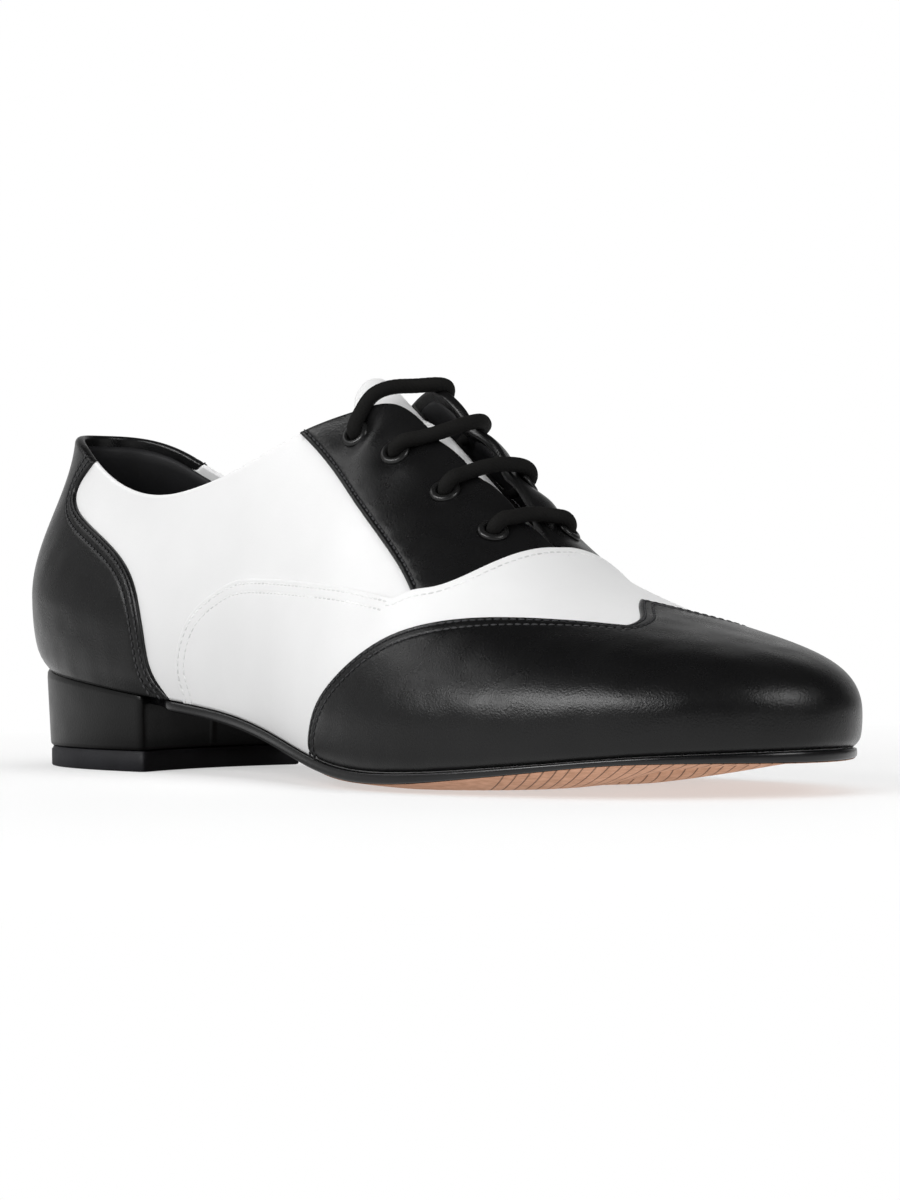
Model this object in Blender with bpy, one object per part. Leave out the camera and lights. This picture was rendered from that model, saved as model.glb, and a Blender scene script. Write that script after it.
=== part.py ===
"""Dance shoe for the right foot: a black and white lace-up with a hollow upper on a low heel.

The toe points along +X, the inner (medial) side is +Y, and the floor is z = 0.
One function gives the surface of the last, and every leather piece is a shell between two offsets of it.
"""

import math
from collections import namedtuple

import bmesh
import bpy
import numpy as np
from mathutils import Matrix, Vector

MM = 0.001

# Driving sizes, in millimetres
LENGTH = 297.5
TIP_SIDE = 8.0
HEEL_FAN = 32.0
TOE_FAN = 50.0
FAN_REACH = 1.05
THROAT_END = 211.0
WALL = 1.8
GAP = 0.3
OVERLAY = 0.9
OVERLAY_FOOT = 0.7
OUTSOLE = 2.8
EDGE_REACH = 0.4
SEAT_INSET = 4.2
SEAT_END = 82.0
SEAT_BLEND = 2.0
TREAD_REAR = 84.0
TREAD_INSET = 1.6
TREAD_EDGE = 0.5
TREAD_CROWN = 1.5
INSOLE = 1.8
INSOLE_INSET = 3.4
HEEL_LENGTH = 74.0
HEEL_INSET = 0.2
HEEL_TAPER = (0.975, 0.965)
BREAST_CURVE = 6.0
BREAST_HALF = 30.0
LIFT = 5.8
LIFT_INSET = 1.4
EYELET_HOLE = 2.5
EYELET_RIM = 4.0
EYELET_HEIGHT = 0.9
EYELET_ROLL = 0.35
LACE_HOLE_DEPTH = 12.0
LACE_RADIUS = 2.1
TONGUE = 1.4
TONGUE_DEPTH = 3.0
TONGUE_EDGE = 0.6
TONGUE_SHARES = (1.0, 0.66, 0.33)
TONGUE_RISE = (0, 0, 0, 0.55, 1, 0.55, 0, 0, 0)
TONGUE_LEAN = Vector((-0.6, 0, 0.8))

# Mesh density
AROUND = 68
LOWER_ROWS = 3
UPPER_ROWS = 8
SMOOTH_BELOW = math.radians(40)
RIDGE_MERGE = 0.7
EYELET_SIDES = 11
LACE_STEPS = 10
PLATE_RINGS = (1.0, 0.5, 0.0)
EDGE_BAND = 1.5
TREAD_RINGS = (1.0, 0.85, 0.45, 0.0)
SEAT_RINGS = (1.0, 0.915, 0.89, 0.0)
SEAT_SHARE = 0.9

# The feather edge, where the upper meets the sole: half widths, height, and the swell of the wall above it
Station = namedtuple("Station", "x lateral medial")
STATIONS = [
    Station(12, 20.5, 20.5),
    Station(40, 30.0, 30.0),
    Station(72, 30.0, 29.5),
    Station(105, 28.0, 24.0),
    Station(140, 34.5, 27.0),
    Station(170, 42.5, 36.5),
    Station(195, 46.5, 44.0),
    Station(220, 45.5, 47.0),
    Station(245, 40.5, 46.5),
    Station(270, 30.5, 40.5),
    Station(288, 14.5, 28.5),
]
Feather = namedtuple("Feather", "x height")
FEATHER = [
    Feather(0, 29.5),
    Feather(40, 26.2),
    Feather(72, 22.2),
    Feather(105, 18.4),
    Feather(125, 15.6),
    Feather(147, 11.6),
    Feather(165, 8.0),
    Feather(184, 5.4),
    Feather(207, 5.0),
    Feather(227, 5.9),
    Feather(250, 7.6),
    Feather(272, 9.4),
    Feather(LENGTH, 11.2),
]
Swell = namedtuple("Swell", "x out rise")
SWELLS = [
    Swell(0, 4.3, 22),
    Swell(40, 2.2, 20),
    Swell(80, 0.8, 16),
    Swell(120, 0.6, 13),
    Swell(160, 1.8, 12),
    Swell(195, 1.8, 11),
    Swell(230, 1.7, 10),
    Swell(265, 1.7, 9),
    Swell(LENGTH, 1.6, 8),
]
# The lower part of each section: handle places between feather and swell
FOOT_OUT = 0.75
FOOT_RISE = 0.15
SWELL_DROP = 0.45
# The upper part of each section: handle lengths of its curve, as shares of its width and height
Shape = namedtuple("Shape", "x wall_rise top_width top_drop")
SHAPES = [
    Shape(0, 0.35, 0.10, 0.35),
    Shape(60, 0.35, 0.10, 0.35),
    Shape(110, 0.35, 0.15, 0.25),
    Shape(160, 0.35, 0.20, 0.12),
    Shape(200, 0.40, 0.28, 0.03),
    Shape(225, 0.46, 0.38, 0.0),
    Shape(250, 0.52, 0.55, 0.0),
    Shape(LENGTH, 0.60, 0.60, 0.0),
]
# Middle line of the last, and the edge of collar and throat above it
Middle = namedtuple("Middle", "spine side")
MIDDLES = [
    Middle(0, 0),
    Middle(60, 0),
    Middle(110, 0),
    Middle(150, 1),
    Middle(190, 4.5),
    Middle(215, 7),
    Middle(232, 8),
    Middle(260, 9),
]
Top = namedtuple("Top", "spine half_gap height")
TOPS = [
    Top(32, 19.0, 98.6),
    Top(37, 20.0, 95.6),
    Top(46, 21.8, 89.2),
    Top(60, 24.0, 82.0),
    Top(79, 25.0, 78.2),
    Top(97, 24.0, 80.5),
    Top(114, 21.2, 86.2),
    Top(128, 17.4, 92.5),
    Top(146, 10.2, 98.6),
    Top(157, 6.2, 99.6),
    Top(167, 5.2, 93.5),
    Top(181, 4.7, 82.8),
    Top(195, 4.3, 72.5),
    Top(THROAT_END, 4.0, 59.6),
    Top(223, 0.0, 52.2),
    Top(236, 0.0, 46.2),
    Top(248, 0.0, 42.4),
]
# Edges of the overlays on each side, as x at a height or height at an x
CounterEdge = namedtuple("CounterEdge", "height x")
COUNTER_EDGE = [
    CounterEdge(15, 90),
    CounterEdge(20.6, 86),
    CounterEdge(26.6, 80.5),
    CounterEdge(36.8, 76.8),
    CounterEdge(47.5, 73.7),
    CounterEdge(55, 69.4),
    CounterEdge(62, 61),
    CounterEdge(69, 47),
    CounterEdge(75, 34.5),
    CounterEdge(83, 30.2),
    CounterEdge(90, 40),
    CounterEdge(99, 55),
]
FacingEdge = namedtuple("FacingEdge", "height rear front")
FACING_EDGE = [
    FacingEdge(48.0, 198.0, 197.0),
    FacingEdge(50.0, 195.0, 204.5),
    FacingEdge(52.5, 192.0, 208.5),
    FacingEdge(59.3, 182.0, 211.0),
    FacingEdge(67.1, 170.0, 212.0),
    FacingEdge(75.9, 156.6, 213.0),
    FacingEdge(86.6, 140.0, 214.0),
    FacingEdge(92.8, 131.0, 215.0),
    FacingEdge(104.0, 115.0, 216.0),
]
WingEdge = namedtuple("WingEdge", "x height")
WING_EDGE = [
    WingEdge(165.0, 0.0),
    WingEdge(166.6, 8.0),
    WingEdge(168.4, 13.0),
    WingEdge(171.0, 18.0),
    WingEdge(175.2, 23.2),
    WingEdge(181.6, 28.6),
    WingEdge(189.0, 33.4),
    WingEdge(196.0, 36.9),
    WingEdge(203.6, 39.3),
    WingEdge(212.5, 41.0),
    WingEdge(228.0, 41.5),
    WingEdge(243.0, 40.2),
    WingEdge(251.0, 39.3),
    WingEdge(300.0, 34.5),
]
WingPoint = namedtuple("WingPoint", "from_middle x")
WING_POINT = [
    WingPoint(0, 236.0),
    WingPoint(3, 239.6),
    WingPoint(8, 244.8),
    WingPoint(14, 249.6),
    WingPoint(22, 252.6),
    WingPoint(40, 255.0),
]
# Eyelets: the section they sit on, the distance from its top edge, and the arch and lean of the lace bar
LacePair = namedtuple("LacePair", "x inset arch lean")
LACE_PAIRS = [
    LacePair(151.4, 8.6, 27.0, -5.0),
    LacePair(168.0, 12.8, 16.0, 0.0),
    LacePair(188.6, 12.2, 9.5, 0.0),
    LacePair(208.6, 12.8, 7.5, 0.0),
]
# Tongue: its stations along the spine, the reach under each facing, and the lift of its middle
TongueRow = namedtuple("TongueRow", "x reach crown rise")
TONGUE_ROWS = [
    TongueRow(146, 2.0, 2.2, 12.5),
    TongueRow(149, 6.0, 2.4, 9.0),
    TongueRow(154, 9.0, 2.2, 3.4),
    TongueRow(161, 11.0, 1.4, 0.2),
    TongueRow(172, 12.0, 0.8, 0.0),
    TongueRow(184, 12.0, 0.6, 0.0),
    TongueRow(196, 12.0, 0.5, 0.0),
    TongueRow(208, 12.0, 0.4, 0.0),
    TongueRow(217, 11.0, 0.3, 0.0),
]

WHITE = (0.86, 0.86, 0.87)
BLACK = (0.018, 0.018, 0.020)
TAN = (0.46, 0.27, 0.17)
DARK = (0.011, 0.011, 0.012)


def column(rows, name):
    return np.array([getattr(row, name) for row in rows], float)


def smooth(xs, ys):
    """The natural cubic spline through a table, as a function."""
    steps = np.diff(xs)
    count = len(xs)
    matrix = np.eye(count)
    right = np.zeros(count)
    for i in range(1, count - 1):
        matrix[i, i - 1 : i + 2] = steps[i - 1], 2 * (steps[i - 1] + steps[i]), steps[i]
        right[i] = 6 * ((ys[i + 1] - ys[i]) / steps[i] - (ys[i] - ys[i - 1]) / steps[i - 1])
    bends = np.linalg.solve(matrix, right)

    def value(x):
        x = np.asarray(x, float)
        i = np.clip(np.searchsorted(xs, x) - 1, 0, count - 2)
        before = xs[i + 1] - x
        after = x - xs[i]
        cubic = (bends[i] * before**3 + bends[i + 1] * after**3) / (6 * steps[i])
        line_start = (ys[i] / steps[i] - bends[i] * steps[i] / 6) * before
        line_end = (ys[i + 1] / steps[i] - bends[i + 1] * steps[i] / 6) * after
        return cubic + line_start + line_end

    return value


def table(rows, key, name):
    return smooth(column(rows, key), column(rows, name))


def angle_of(x):
    """Place along the outline: 0 at the back of the heel, 1 at the tip of the toe."""
    return np.arccos(np.clip(1 - 2 * np.asarray(x, float) / LENGTH, -1, 1)) / math.pi


def outline_side():
    """Side offset of the outline for places -1 to 1, the outer side negative, closed at heel and toe."""
    places = angle_of(column(STATIONS, "x"))
    around = np.concatenate([-places[::-1], [0.0], places, [1.0]])
    side = np.concatenate([-column(STATIONS, "lateral")[::-1], [0.0], column(STATIONS, "medial"), [TIP_SIDE]])
    turns = np.concatenate([around - 2, around, around + 2])
    return smooth(turns, np.tile(side, 3))


side_at = outline_side()
feather_at = table(FEATHER, "x", "height")
swell_out = table(SWELLS, "x", "out")
swell_rise = table(SWELLS, "x", "rise")
wall_rise = table(SHAPES, "x", "wall_rise")
top_width = table(SHAPES, "x", "top_width")
top_drop = table(SHAPES, "x", "top_drop")
middle_at = table(MIDDLES, "spine", "side")
half_gap_at = table([top for top in TOPS if top.half_gap], "spine", "half_gap")
top_at = table(TOPS, "spine", "height")


def spine_of(x):
    """The spine point that the section from outline x runs to: sections fan out round heel and toe."""
    heel = HEEL_FAN * np.exp(-x / (FAN_REACH * HEEL_FAN))
    toe = TOE_FAN * np.exp((x - LENGTH) / (FAN_REACH * TOE_FAN))
    return x + heel - toe


def cubic_curve(u, a, b, c, d):
    v = 1 - u
    return v**3 * a + 3 * v * v * u * b + 3 * v * u * u * c + u**3 * d


def last_sections(places, lower, upper):
    """Points of the last for places round the outline: an array of rows, from feather to top, by places."""
    x = LENGTH * (1 - np.cos(math.pi * places)) / 2
    foot = np.stack([x, side_at(places)], -1)
    spine_x = spine_of(x)
    spine = np.stack([spine_x, middle_at(spine_x)], -1)
    width = np.linalg.norm(foot - spine, axis=1)
    outward = (foot - spine) / width[:, None]
    low = feather_at(x)
    wide = width + swell_out(x)
    waist = low + swell_rise(x)
    open_here = spine_x < THROAT_END
    gap = np.where(open_here, half_gap_at(np.minimum(spine_x, THROAT_END)), 0.0)
    top = top_at(spine_x)
    ridge_slope = np.where(open_here, 0.0, top_at(spine_x + 0.5) - top_at(spine_x - 0.5))
    handle_out = top_width(x) * (wide - gap)
    handle_down = top_drop(x) * (top - waist) - ridge_slope * handle_out * outward[:, 0]

    def pair(radius, height):
        return np.stack([radius, height], -1)

    lower_curve = (
        pair(width, low),
        pair(width + FOOT_OUT * (wide - width), low + FOOT_RISE * (waist - low)),
        pair(wide, waist - SWELL_DROP * (waist - low)),
        pair(wide, waist),
    )
    upper_curve = (
        pair(wide, waist),
        pair(wide, waist + wall_rise(x) * (top - waist)),
        pair(gap + handle_out, top - handle_down),
        pair(gap, top),
    )
    u = np.linspace(0, 1, lower + 1)[:-1, None, None]
    v = np.linspace(0, 1, upper + 1)[:, None, None]
    profile = np.concatenate([cubic_curve(u, *lower_curve), cubic_curve(v, *upper_curve)])
    plan = spine[None] + outward[None] * profile[..., :1]
    return np.concatenate([plan, profile[..., 1:]], -1)


class Surface:
    """A mesh of points, normals and polygons that pieces are cut from."""

    def __init__(self, points, faces, normals=None):
        self.points = np.asarray(points, float)
        self.faces = faces
        self.normals = self.corner_normals() if normals is None else np.asarray(normals, float)

    def corner_normals(self):
        total = np.zeros_like(self.points)
        for face in self.faces:
            corner = self.points[face]
            total[face] += np.cross(corner[1] - corner[0], corner[2] - corner[0])
        return total / np.linalg.norm(total, axis=1)[:, None]

    def refined(self, inside):
        """The same facets with each triangle that the edge of inside crosses, or nearly, split at its sides."""
        points = list(self.points)
        normals = list(self.normals)
        value = [inside(point) for point in points]
        marked = set()
        for face in self.faces:
            sides = [(min(a, b), max(a, b)) for a, b in zip(face, face[1:] + face[:1])]
            if min(value[i] for i in face) < EDGE_BAND and max(value[i] for i in face) > -EDGE_BAND:
                marked.update(sides)
        halves = {}
        for a, b in marked:
            halves[a, b] = len(points)
            points.append((points[a] + points[b]) / 2)
            normal = normals[a] + normals[b]
            normals.append(normal / np.linalg.norm(normal))
        faces = []
        for face in self.faces:
            ring = []
            for a, b in zip(face, face[1:] + face[:1]):
                ring += [a] + [halves[key] for key in [(min(a, b), max(a, b))] if key in halves]
            if len(ring) == 6:
                faces += [[ring[0], ring[1], ring[5]], [ring[1], ring[2], ring[3]]]
                faces += [[ring[3], ring[4], ring[5]], [ring[1], ring[3], ring[5]]]
            else:
                start = next((i for i, n in enumerate(ring) if n >= len(self.points)), 0)
                ring = ring[start:] + ring[:start]
                faces += [[ring[0], b, c] for b, c in zip(ring[1:], ring[2:])]
        return Surface(points, faces, normals)

    def clipped(self, inside):
        """The part where inside(point) is above 0, cut exactly across the faces."""
        value = [inside(point) for point in self.points]
        points = list(self.points)
        normals = list(self.normals)
        cuts = {}

        def cut(a, b):
            key = (min(a, b), max(a, b))
            if key not in cuts:
                start, end = (a, b) if value[a] > 0 else (b, a)
                near, far = 0.0, 1.0
                for _ in range(24):
                    half = (near + far) / 2
                    point = points[start] * (1 - half) + points[end] * half
                    near, far = (half, far) if inside(point) > 0 else (near, half)
                cuts[key] = len(points)
                points.append(points[start] * (1 - near) + points[end] * near)
                normal = normals[start] * (1 - near) + normals[end] * near
                normals.append(normal / np.linalg.norm(normal))
            return cuts[key]

        faces = []
        for face in self.faces:
            kept = []
            for a, b in zip(face, face[1:] + face[:1]):
                if value[a] > 0:
                    kept.append(a)
                if (value[a] > 0) != (value[b] > 0):
                    kept.append(cut(a, b))
            if len(kept) > 2:
                faces.append(kept)
        used = sorted({i for face in faces for i in face})
        place = {old: new for new, old in enumerate(used)}
        faces = [[place[i] for i in face] for face in faces]
        return Surface([points[i] for i in used], faces, [normals[i] for i in used])

    def rim(self):
        """Edges with one face, in that face's direction."""
        edges = {}
        for face in self.faces:
            for a, b in zip(face, face[1:] + face[:1]):
                edges[(a, b)] = edges.get((a, b), 0) + 1
        return [edge for edge in edges if (edge[1], edge[0]) not in edges]


def triangles(face, points):
    """A face as triangles, a quad split along its shorter diagonal."""
    if len(face) < 4:
        return [face] if len(face) == 3 else []
    a, b, c, d = face
    if np.linalg.norm(points[a] - points[c]) < np.linalg.norm(points[b] - points[d]):
        return [[a, b, c], [a, c, d]]
    return [[a, b, d], [b, c, d]]


def closed_rows(rows, merge):
    """A surface from rows of points round the outline; top points that coincide become one."""
    count, around = rows.shape[:2]
    points = rows.reshape(-1, 3)
    index = np.arange(len(points)).reshape(count, around)
    top = index[-1].copy()
    for j in range(around):
        for k in range(j):
            if np.linalg.norm(points[top[j]] - points[top[k]]) < merge:
                top[j] = top[k]
                break
    index[-1] = top
    faces = []
    for i in range(count - 1):
        for j in range(around):
            k = (j + 1) % around
            ring = [int(n) for n in (index[i, k], index[i, j], index[i + 1, j], index[i + 1, k])]
            face = [n for m, n in enumerate(ring) if n != ring[m - 1]]
            faces += triangles(face, points)
    used = sorted({i for face in faces for i in face})
    place = {old: new for new, old in enumerate(used)}
    return Surface(points[used], [[place[i] for i in face] for face in faces])


def places_round(count):
    return -1 + 2 * np.arange(count) / count


def last_surface():
    return closed_rows(last_sections(places_round(AROUND), LOWER_ROWS, UPPER_ROWS), RIDGE_MERGE)


def make_object(name, bottom, top, surface, material):
    """A closed solid between two copies of a surface, joined round its rims."""
    count = len(bottom)
    faces = [[i + count for i in face] for face in surface.faces]
    faces += [face[::-1] for face in surface.faces]
    faces += [[a, b, b + count, a + count] for a, b in surface.rim()]
    mesh = bpy.data.meshes.new(name)
    mesh.from_pydata((np.concatenate([bottom, top]) * MM).tolist(), [], faces)
    mesh.materials.append(material)
    thing = bpy.data.objects.new(name, mesh)
    bpy.context.scene.collection.objects.link(thing)
    thing.parent = ROOT
    mesh.shade_smooth()
    mesh.set_sharp_from_angle(angle=SMOOTH_BELOW)
    return thing


def shell(name, surface, low, high, material):
    """A leather piece: the solid between two offsets of the last."""
    bottom = surface.points + surface.normals * low
    top = surface.points + surface.normals * high
    return make_object(name, bottom, top, surface, material)


def plan_surface(inset, rings=PLATE_RINGS):
    """A flat mesh inside the feather outline, drawn in by inset(x); z holds the share from spine to edge."""
    places = places_round(AROUND)
    x = LENGTH * (1 - np.cos(math.pi * places)) / 2
    foot = np.stack([x, side_at(places)], -1)
    spine_x = spine_of(x)
    spine = np.stack([spine_x, middle_at(spine_x)], -1)
    width = np.linalg.norm(foot - spine, axis=1)[:, None]
    edge = spine + (foot - spine) * (1 - inset(x)[:, None] / width)
    rows = [np.column_stack([spine + (edge - spine) * ring, np.full(AROUND, ring)]) for ring in rings]
    return closed_rows(np.array(rows), RIDGE_MERGE)


def plate(name, surface, low, high, material, taper=None):
    """A solid between two height functions of x and the share from spine to edge."""
    plan = surface.points[:, :2]
    share = surface.points[:, 2]
    bottom_plan = plan if taper is None else taper(plan)
    bottom = np.column_stack([bottom_plan, low(plan[:, 0], share)])
    top = np.column_stack([plan, high(plan[:, 0], share)])
    return make_object(name, bottom, top, surface, material)


def leather(name, colour, roughness, metallic=0.0):
    material = bpy.data.materials.new(name)
    material.use_nodes = True
    shader = material.node_tree.nodes["Principled BSDF"]
    shader.inputs["Base Color"].default_value = (*colour, 1)
    shader.inputs["Roughness"].default_value = roughness
    shader.inputs["Metallic"].default_value = metallic
    return material


def above_feather(p):
    return p[2] - float(feather_at(p[0])) - OVERLAY_FOOT


def in_counter():
    edge = table(COUNTER_EDGE, "height", "x")
    return lambda p: float(edge(p[2])) - p[0]


def in_wing():
    side = table(WING_EDGE, "x", "height")
    point = table(WING_POINT, "from_middle", "x")

    def inside(p):
        from_middle = abs(p[1] - float(middle_at(p[0])))
        below = float(side(p[0])) - p[2] if p[0] > WING_EDGE[0].x else -1.0
        ahead = p[0] - float(point(min(from_middle, WING_POINT[-1].from_middle)))
        return max(below, ahead)

    return inside


def facing_tests(sign):
    rear = table(FACING_EDGE, "height", "rear")
    front = table(FACING_EDGE, "height", "front")
    lowest = FACING_EDGE[0].height
    return [
        lambda p: sign * (p[1] - float(middle_at(p[0]))) if p[2] > lowest else -1.0,
        lambda p: p[0] - float(rear(max(p[2], lowest))),
        lambda p: float(front(max(p[2], lowest))) - p[0],
    ]


def place_near_top(x, sign, inset):
    """Point and normal of the last on the section at x, a distance down from its top edge."""
    place = float(angle_of(x)) * sign
    step = 0.002
    strips = last_sections(np.array([place - step, place, place + step]), 40, 120)
    middle = strips[:, 1]
    lengths = np.linalg.norm(np.diff(middle[::-1], axis=0), axis=1)
    along = np.concatenate([[0.0], np.cumsum(lengths)])
    row = len(middle) - 1 - int(np.searchsorted(along, inset))
    tangent = strips[row + 1, 1] - strips[row - 1, 1]
    across = strips[row, 2] - strips[row, 0]
    normal = np.cross(tangent, across)
    return Vector(middle[row]), Vector(normal).normalized()


def eyelet_mesh(name, material):
    """A rolled ring, turned about Z, standing on z = 0."""
    profile = [
        (EYELET_HOLE - EYELET_ROLL, 0.0),
        (EYELET_HOLE - EYELET_ROLL, EYELET_HEIGHT / 2),
        (EYELET_HOLE + EYELET_ROLL, EYELET_HEIGHT),
        (EYELET_RIM - 2 * EYELET_ROLL, EYELET_HEIGHT),
        (EYELET_RIM, 0.0),
    ]
    ring = bmesh.new()
    loop = [ring.verts.new((radius * MM, 0, height * MM)) for radius, height in profile]
    edges = [ring.edges.new((a, b)) for a, b in zip(loop, loop[1:] + loop[:1])]
    turn = {"axis": (0, 0, 1), "cent": (0, 0, 0), "angle": math.tau, "steps": EYELET_SIDES}
    bmesh.ops.spin(ring, geom=loop + edges, use_merge=True, use_duplicate=False, **turn)
    bmesh.ops.remove_doubles(ring, verts=ring.verts[:], dist=0.02 * MM)
    bmesh.ops.recalc_face_normals(ring, faces=ring.faces[:])
    mesh = bpy.data.meshes.new(name)
    ring.to_mesh(mesh)
    ring.free()
    mesh.materials.append(material)
    mesh.shade_smooth()
    mesh.set_sharp_from_angle(angle=SMOOTH_BELOW)
    return mesh


def link(name, data, matrix=None):
    thing = bpy.data.objects.new(name, data)
    bpy.context.scene.collection.objects.link(thing)
    thing.parent = ROOT
    if matrix is not None:
        thing.matrix_local = matrix
    return thing


def seat_matrix(point, normal):
    turn = normal.to_track_quat("Z", "Y").to_matrix().to_4x4()
    return Matrix.Translation(point * MM) @ turn


def make_eyelets(material):
    mesh = eyelet_mesh("eyelet_ring", material)
    seats = {}
    for number, pair in enumerate(LACE_PAIRS, 1):
        for side, sign in (("lateral", -1), ("medial", 1)):
            point, normal = place_near_top(pair.x, sign, pair.inset)
            seat = point + normal * (GAP + OVERLAY + GAP)
            link(f"eyelet_{side}_{number}", mesh, seat_matrix(seat, normal))
            seats[number, side] = (point, normal)
    return seats


def cut_lace_holes(seats, pieces):
    """Round holes under the eyelets, through facing and upper."""
    cutter = bmesh.new()
    for point, normal in seats.values():
        drill = {"cap_ends": True, "segments": EYELET_SIDES, "depth": LACE_HOLE_DEPTH * MM}
        size = {"radius1": EYELET_HOLE * MM, "radius2": EYELET_HOLE * MM}
        bmesh.ops.create_cone(cutter, matrix=seat_matrix(point, normal), **drill, **size)
    mesh = bpy.data.meshes.new("lace_hole_cutter")
    cutter.to_mesh(mesh)
    cutter.free()
    tool = link("lace_hole_cutter", mesh)
    tool.hide_render = True
    tool.display_type = "WIRE"
    for piece in pieces:
        cut = piece.modifiers.new("lace holes", "BOOLEAN")
        cut.operation = "DIFFERENCE"
        cut.solver = "EXACT"
        cut.object = tool


def lace_route(near, far, pair):
    """A smooth arch that leaves both eyelets along their axes."""
    start = GAP + OVERLAY + GAP + EYELET_HEIGHT + 2 * GAP
    (near_point, near_up), (far_point, far_up) = near, far
    handle = pair.arch * 4 / 3
    back = Vector((-pair.lean, 0, 0))
    ends = near_point + near_up * start, far_point + far_up * start
    handles = ends[0] + near_up * handle + back, ends[1] + far_up * handle + back
    for i in range(LACE_STEPS + 1):
        share = (1 - math.cos(math.pi * i / LACE_STEPS)) / 2
        yield cubic_curve(share, ends[0], handles[0], handles[1], ends[1])


def make_lace(seats, material):
    """Four straight bars, each arching from one eyelet to the one across the throat."""
    for number, pair in enumerate(LACE_PAIRS, 1):
        route = list(lace_route(seats[number, "lateral"], seats[number, "medial"], pair))
        curve = bpy.data.curves.new(f"lace_bar_{number}", "CURVE")
        curve.dimensions = "3D"
        curve.bevel_depth = LACE_RADIUS * MM
        curve.bevel_resolution = 2
        curve.use_fill_caps = True
        spline = curve.splines.new("POLY")
        spline.points.add(len(route) - 1)
        for knot, point in zip(spline.points, route):
            knot.co = (*(point * MM), 1)
        curve.materials.append(material)
        link(f"lace_bar_{number}", curve)


def tongue_row(row):
    """Points across the tongue at one station, from under one facing to under the other."""
    insets = [row.reach * share for share in TONGUE_SHARES] + [TONGUE_EDGE]
    sides = []
    for sign in (-1, 1):
        spots = [place_near_top(row.x, sign, inset) for inset in insets]
        sides.append([point - normal * TONGUE_DEPTH for point, normal in spots])
    near, far = sides[0], sides[1][::-1]
    middle = (near[-1] + far[0]) / 2 + Vector((0, 0, row.crown))
    points = near + [middle] + far
    lift = TONGUE_LEAN * row.rise
    return [point + lift * share for point, share in zip(points, TONGUE_RISE)]


def make_tongue(material):
    rows = np.array([[list(point) for point in tongue_row(row)] for row in TONGUE_ROWS])
    count, across = rows.shape[:2]
    points = rows.reshape(-1, 3)
    faces = []
    for i in range(count - 1):
        for j in range(across - 1):
            a = i * across + j
            faces += triangles([a, a + across, a + across + 1, a + 1], points)
    surface = Surface(points, faces)
    if surface.normals[:, 2].mean() < 0:
        surface = Surface(surface.points, [face[::-1] for face in faces])
    return shell("tongue", surface, -TONGUE, 0.0, material)


def make_sole(black, tan, dark):
    def sole_inset(x):
        seat = 1 / (1 + np.exp((x - SEAT_END) / SEAT_BLEND))
        return SEAT_INSET * seat - EDGE_REACH * (1 - seat)

    def sole_top(x, share):
        return feather_at(x) - GAP

    def sole_bottom(x, share):
        return sole_top(x, share) - OUTSOLE

    def tread_top(x, share):
        return sole_bottom(x, share) - GAP

    def tread_bottom(x, share):
        crown = TREAD_CROWN * (1 - share**6)
        return np.maximum(tread_top(x, share) - TREAD_EDGE - crown, 0.0)

    plate("outsole", plan_surface(sole_inset), sole_bottom, sole_top, black)
    tread = plan_surface(lambda x: sole_inset(x) + TREAD_INSET, TREAD_RINGS)
    plate("suede_tread", tread.clipped(lambda p: p[0] - TREAD_REAR), tread_bottom, tread_top, tan)
    inside = plan_surface(lambda x: np.full_like(x, INSOLE_INSET))
    plate("insole", inside, lambda x, s: feather_at(x), lambda x, s: feather_at(x) + INSOLE, dark)


def make_heel(black, rubber):
    def before_breast(p):
        return HEEL_LENGTH - BREAST_CURVE * (1 - (p[1] / BREAST_HALF) ** 2) - p[0]

    def block_top(x, share):
        rim = feather_at(x) - GAP
        return np.where(share > SEAT_SHARE, rim, rim - OUTSOLE - 2 * GAP)

    def lift_top(x, share):
        return np.full_like(x, LIFT)

    def taper(plan):
        middle = np.array([HEEL_LENGTH / 2, 0.0])
        return middle + (plan - middle) * np.array(HEEL_TAPER)

    block = plan_surface(lambda x: np.full_like(x, HEEL_INSET), SEAT_RINGS).clipped(before_breast)
    plate("heel_block", block, lambda x, s: lift_top(x, s) + GAP, block_top, black, taper)
    lift = plan_surface(lambda x: np.full_like(x, LIFT_INSET)).clipped(before_breast)
    plate("heel_lift", lift, lambda x, s: np.zeros_like(x), lift_top, rubber)


def centre_on_floor():
    """Moves the whole shoe so that the middle of its box stands over the origin."""
    corners = []
    for thing in bpy.context.scene.collection.objects:
        if thing.type == "MESH" and not thing.hide_render:
            corners += [thing.matrix_basis @ vertex.co for vertex in thing.data.vertices]
    low = [min(c[i] for c in corners) for i in range(3)]
    high = [max(c[i] for c in corners) for i in range(3)]
    ROOT.location = (-(low[0] + high[0]) / 2, -(low[1] + high[1]) / 2, -low[2])


for old in list(bpy.data.objects):
    bpy.data.objects.remove(old, do_unlink=True)

ROOT = bpy.data.objects.new("shoe", None)
bpy.context.scene.collection.objects.link(ROOT)

white_leather = leather("white leather", WHITE, 0.45)
black_leather = leather("black leather", BLACK, 0.38)
edge_paint = leather("black edge", BLACK, 0.5)
suede = leather("tan suede", TAN, 0.95)
sock_leather = leather("dark sock", DARK, 0.7)
heel_cover = leather("black heel cover", BLACK, 0.42)
lift_rubber = leather("black rubber", BLACK, 0.7)
eyelet_metal = leather("black metal", BLACK, 0.3, 0.9)
lace_cord = leather("black cord", DARK, 0.9)
tongue_leather = leather("white tongue", WHITE, 0.5)

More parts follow.
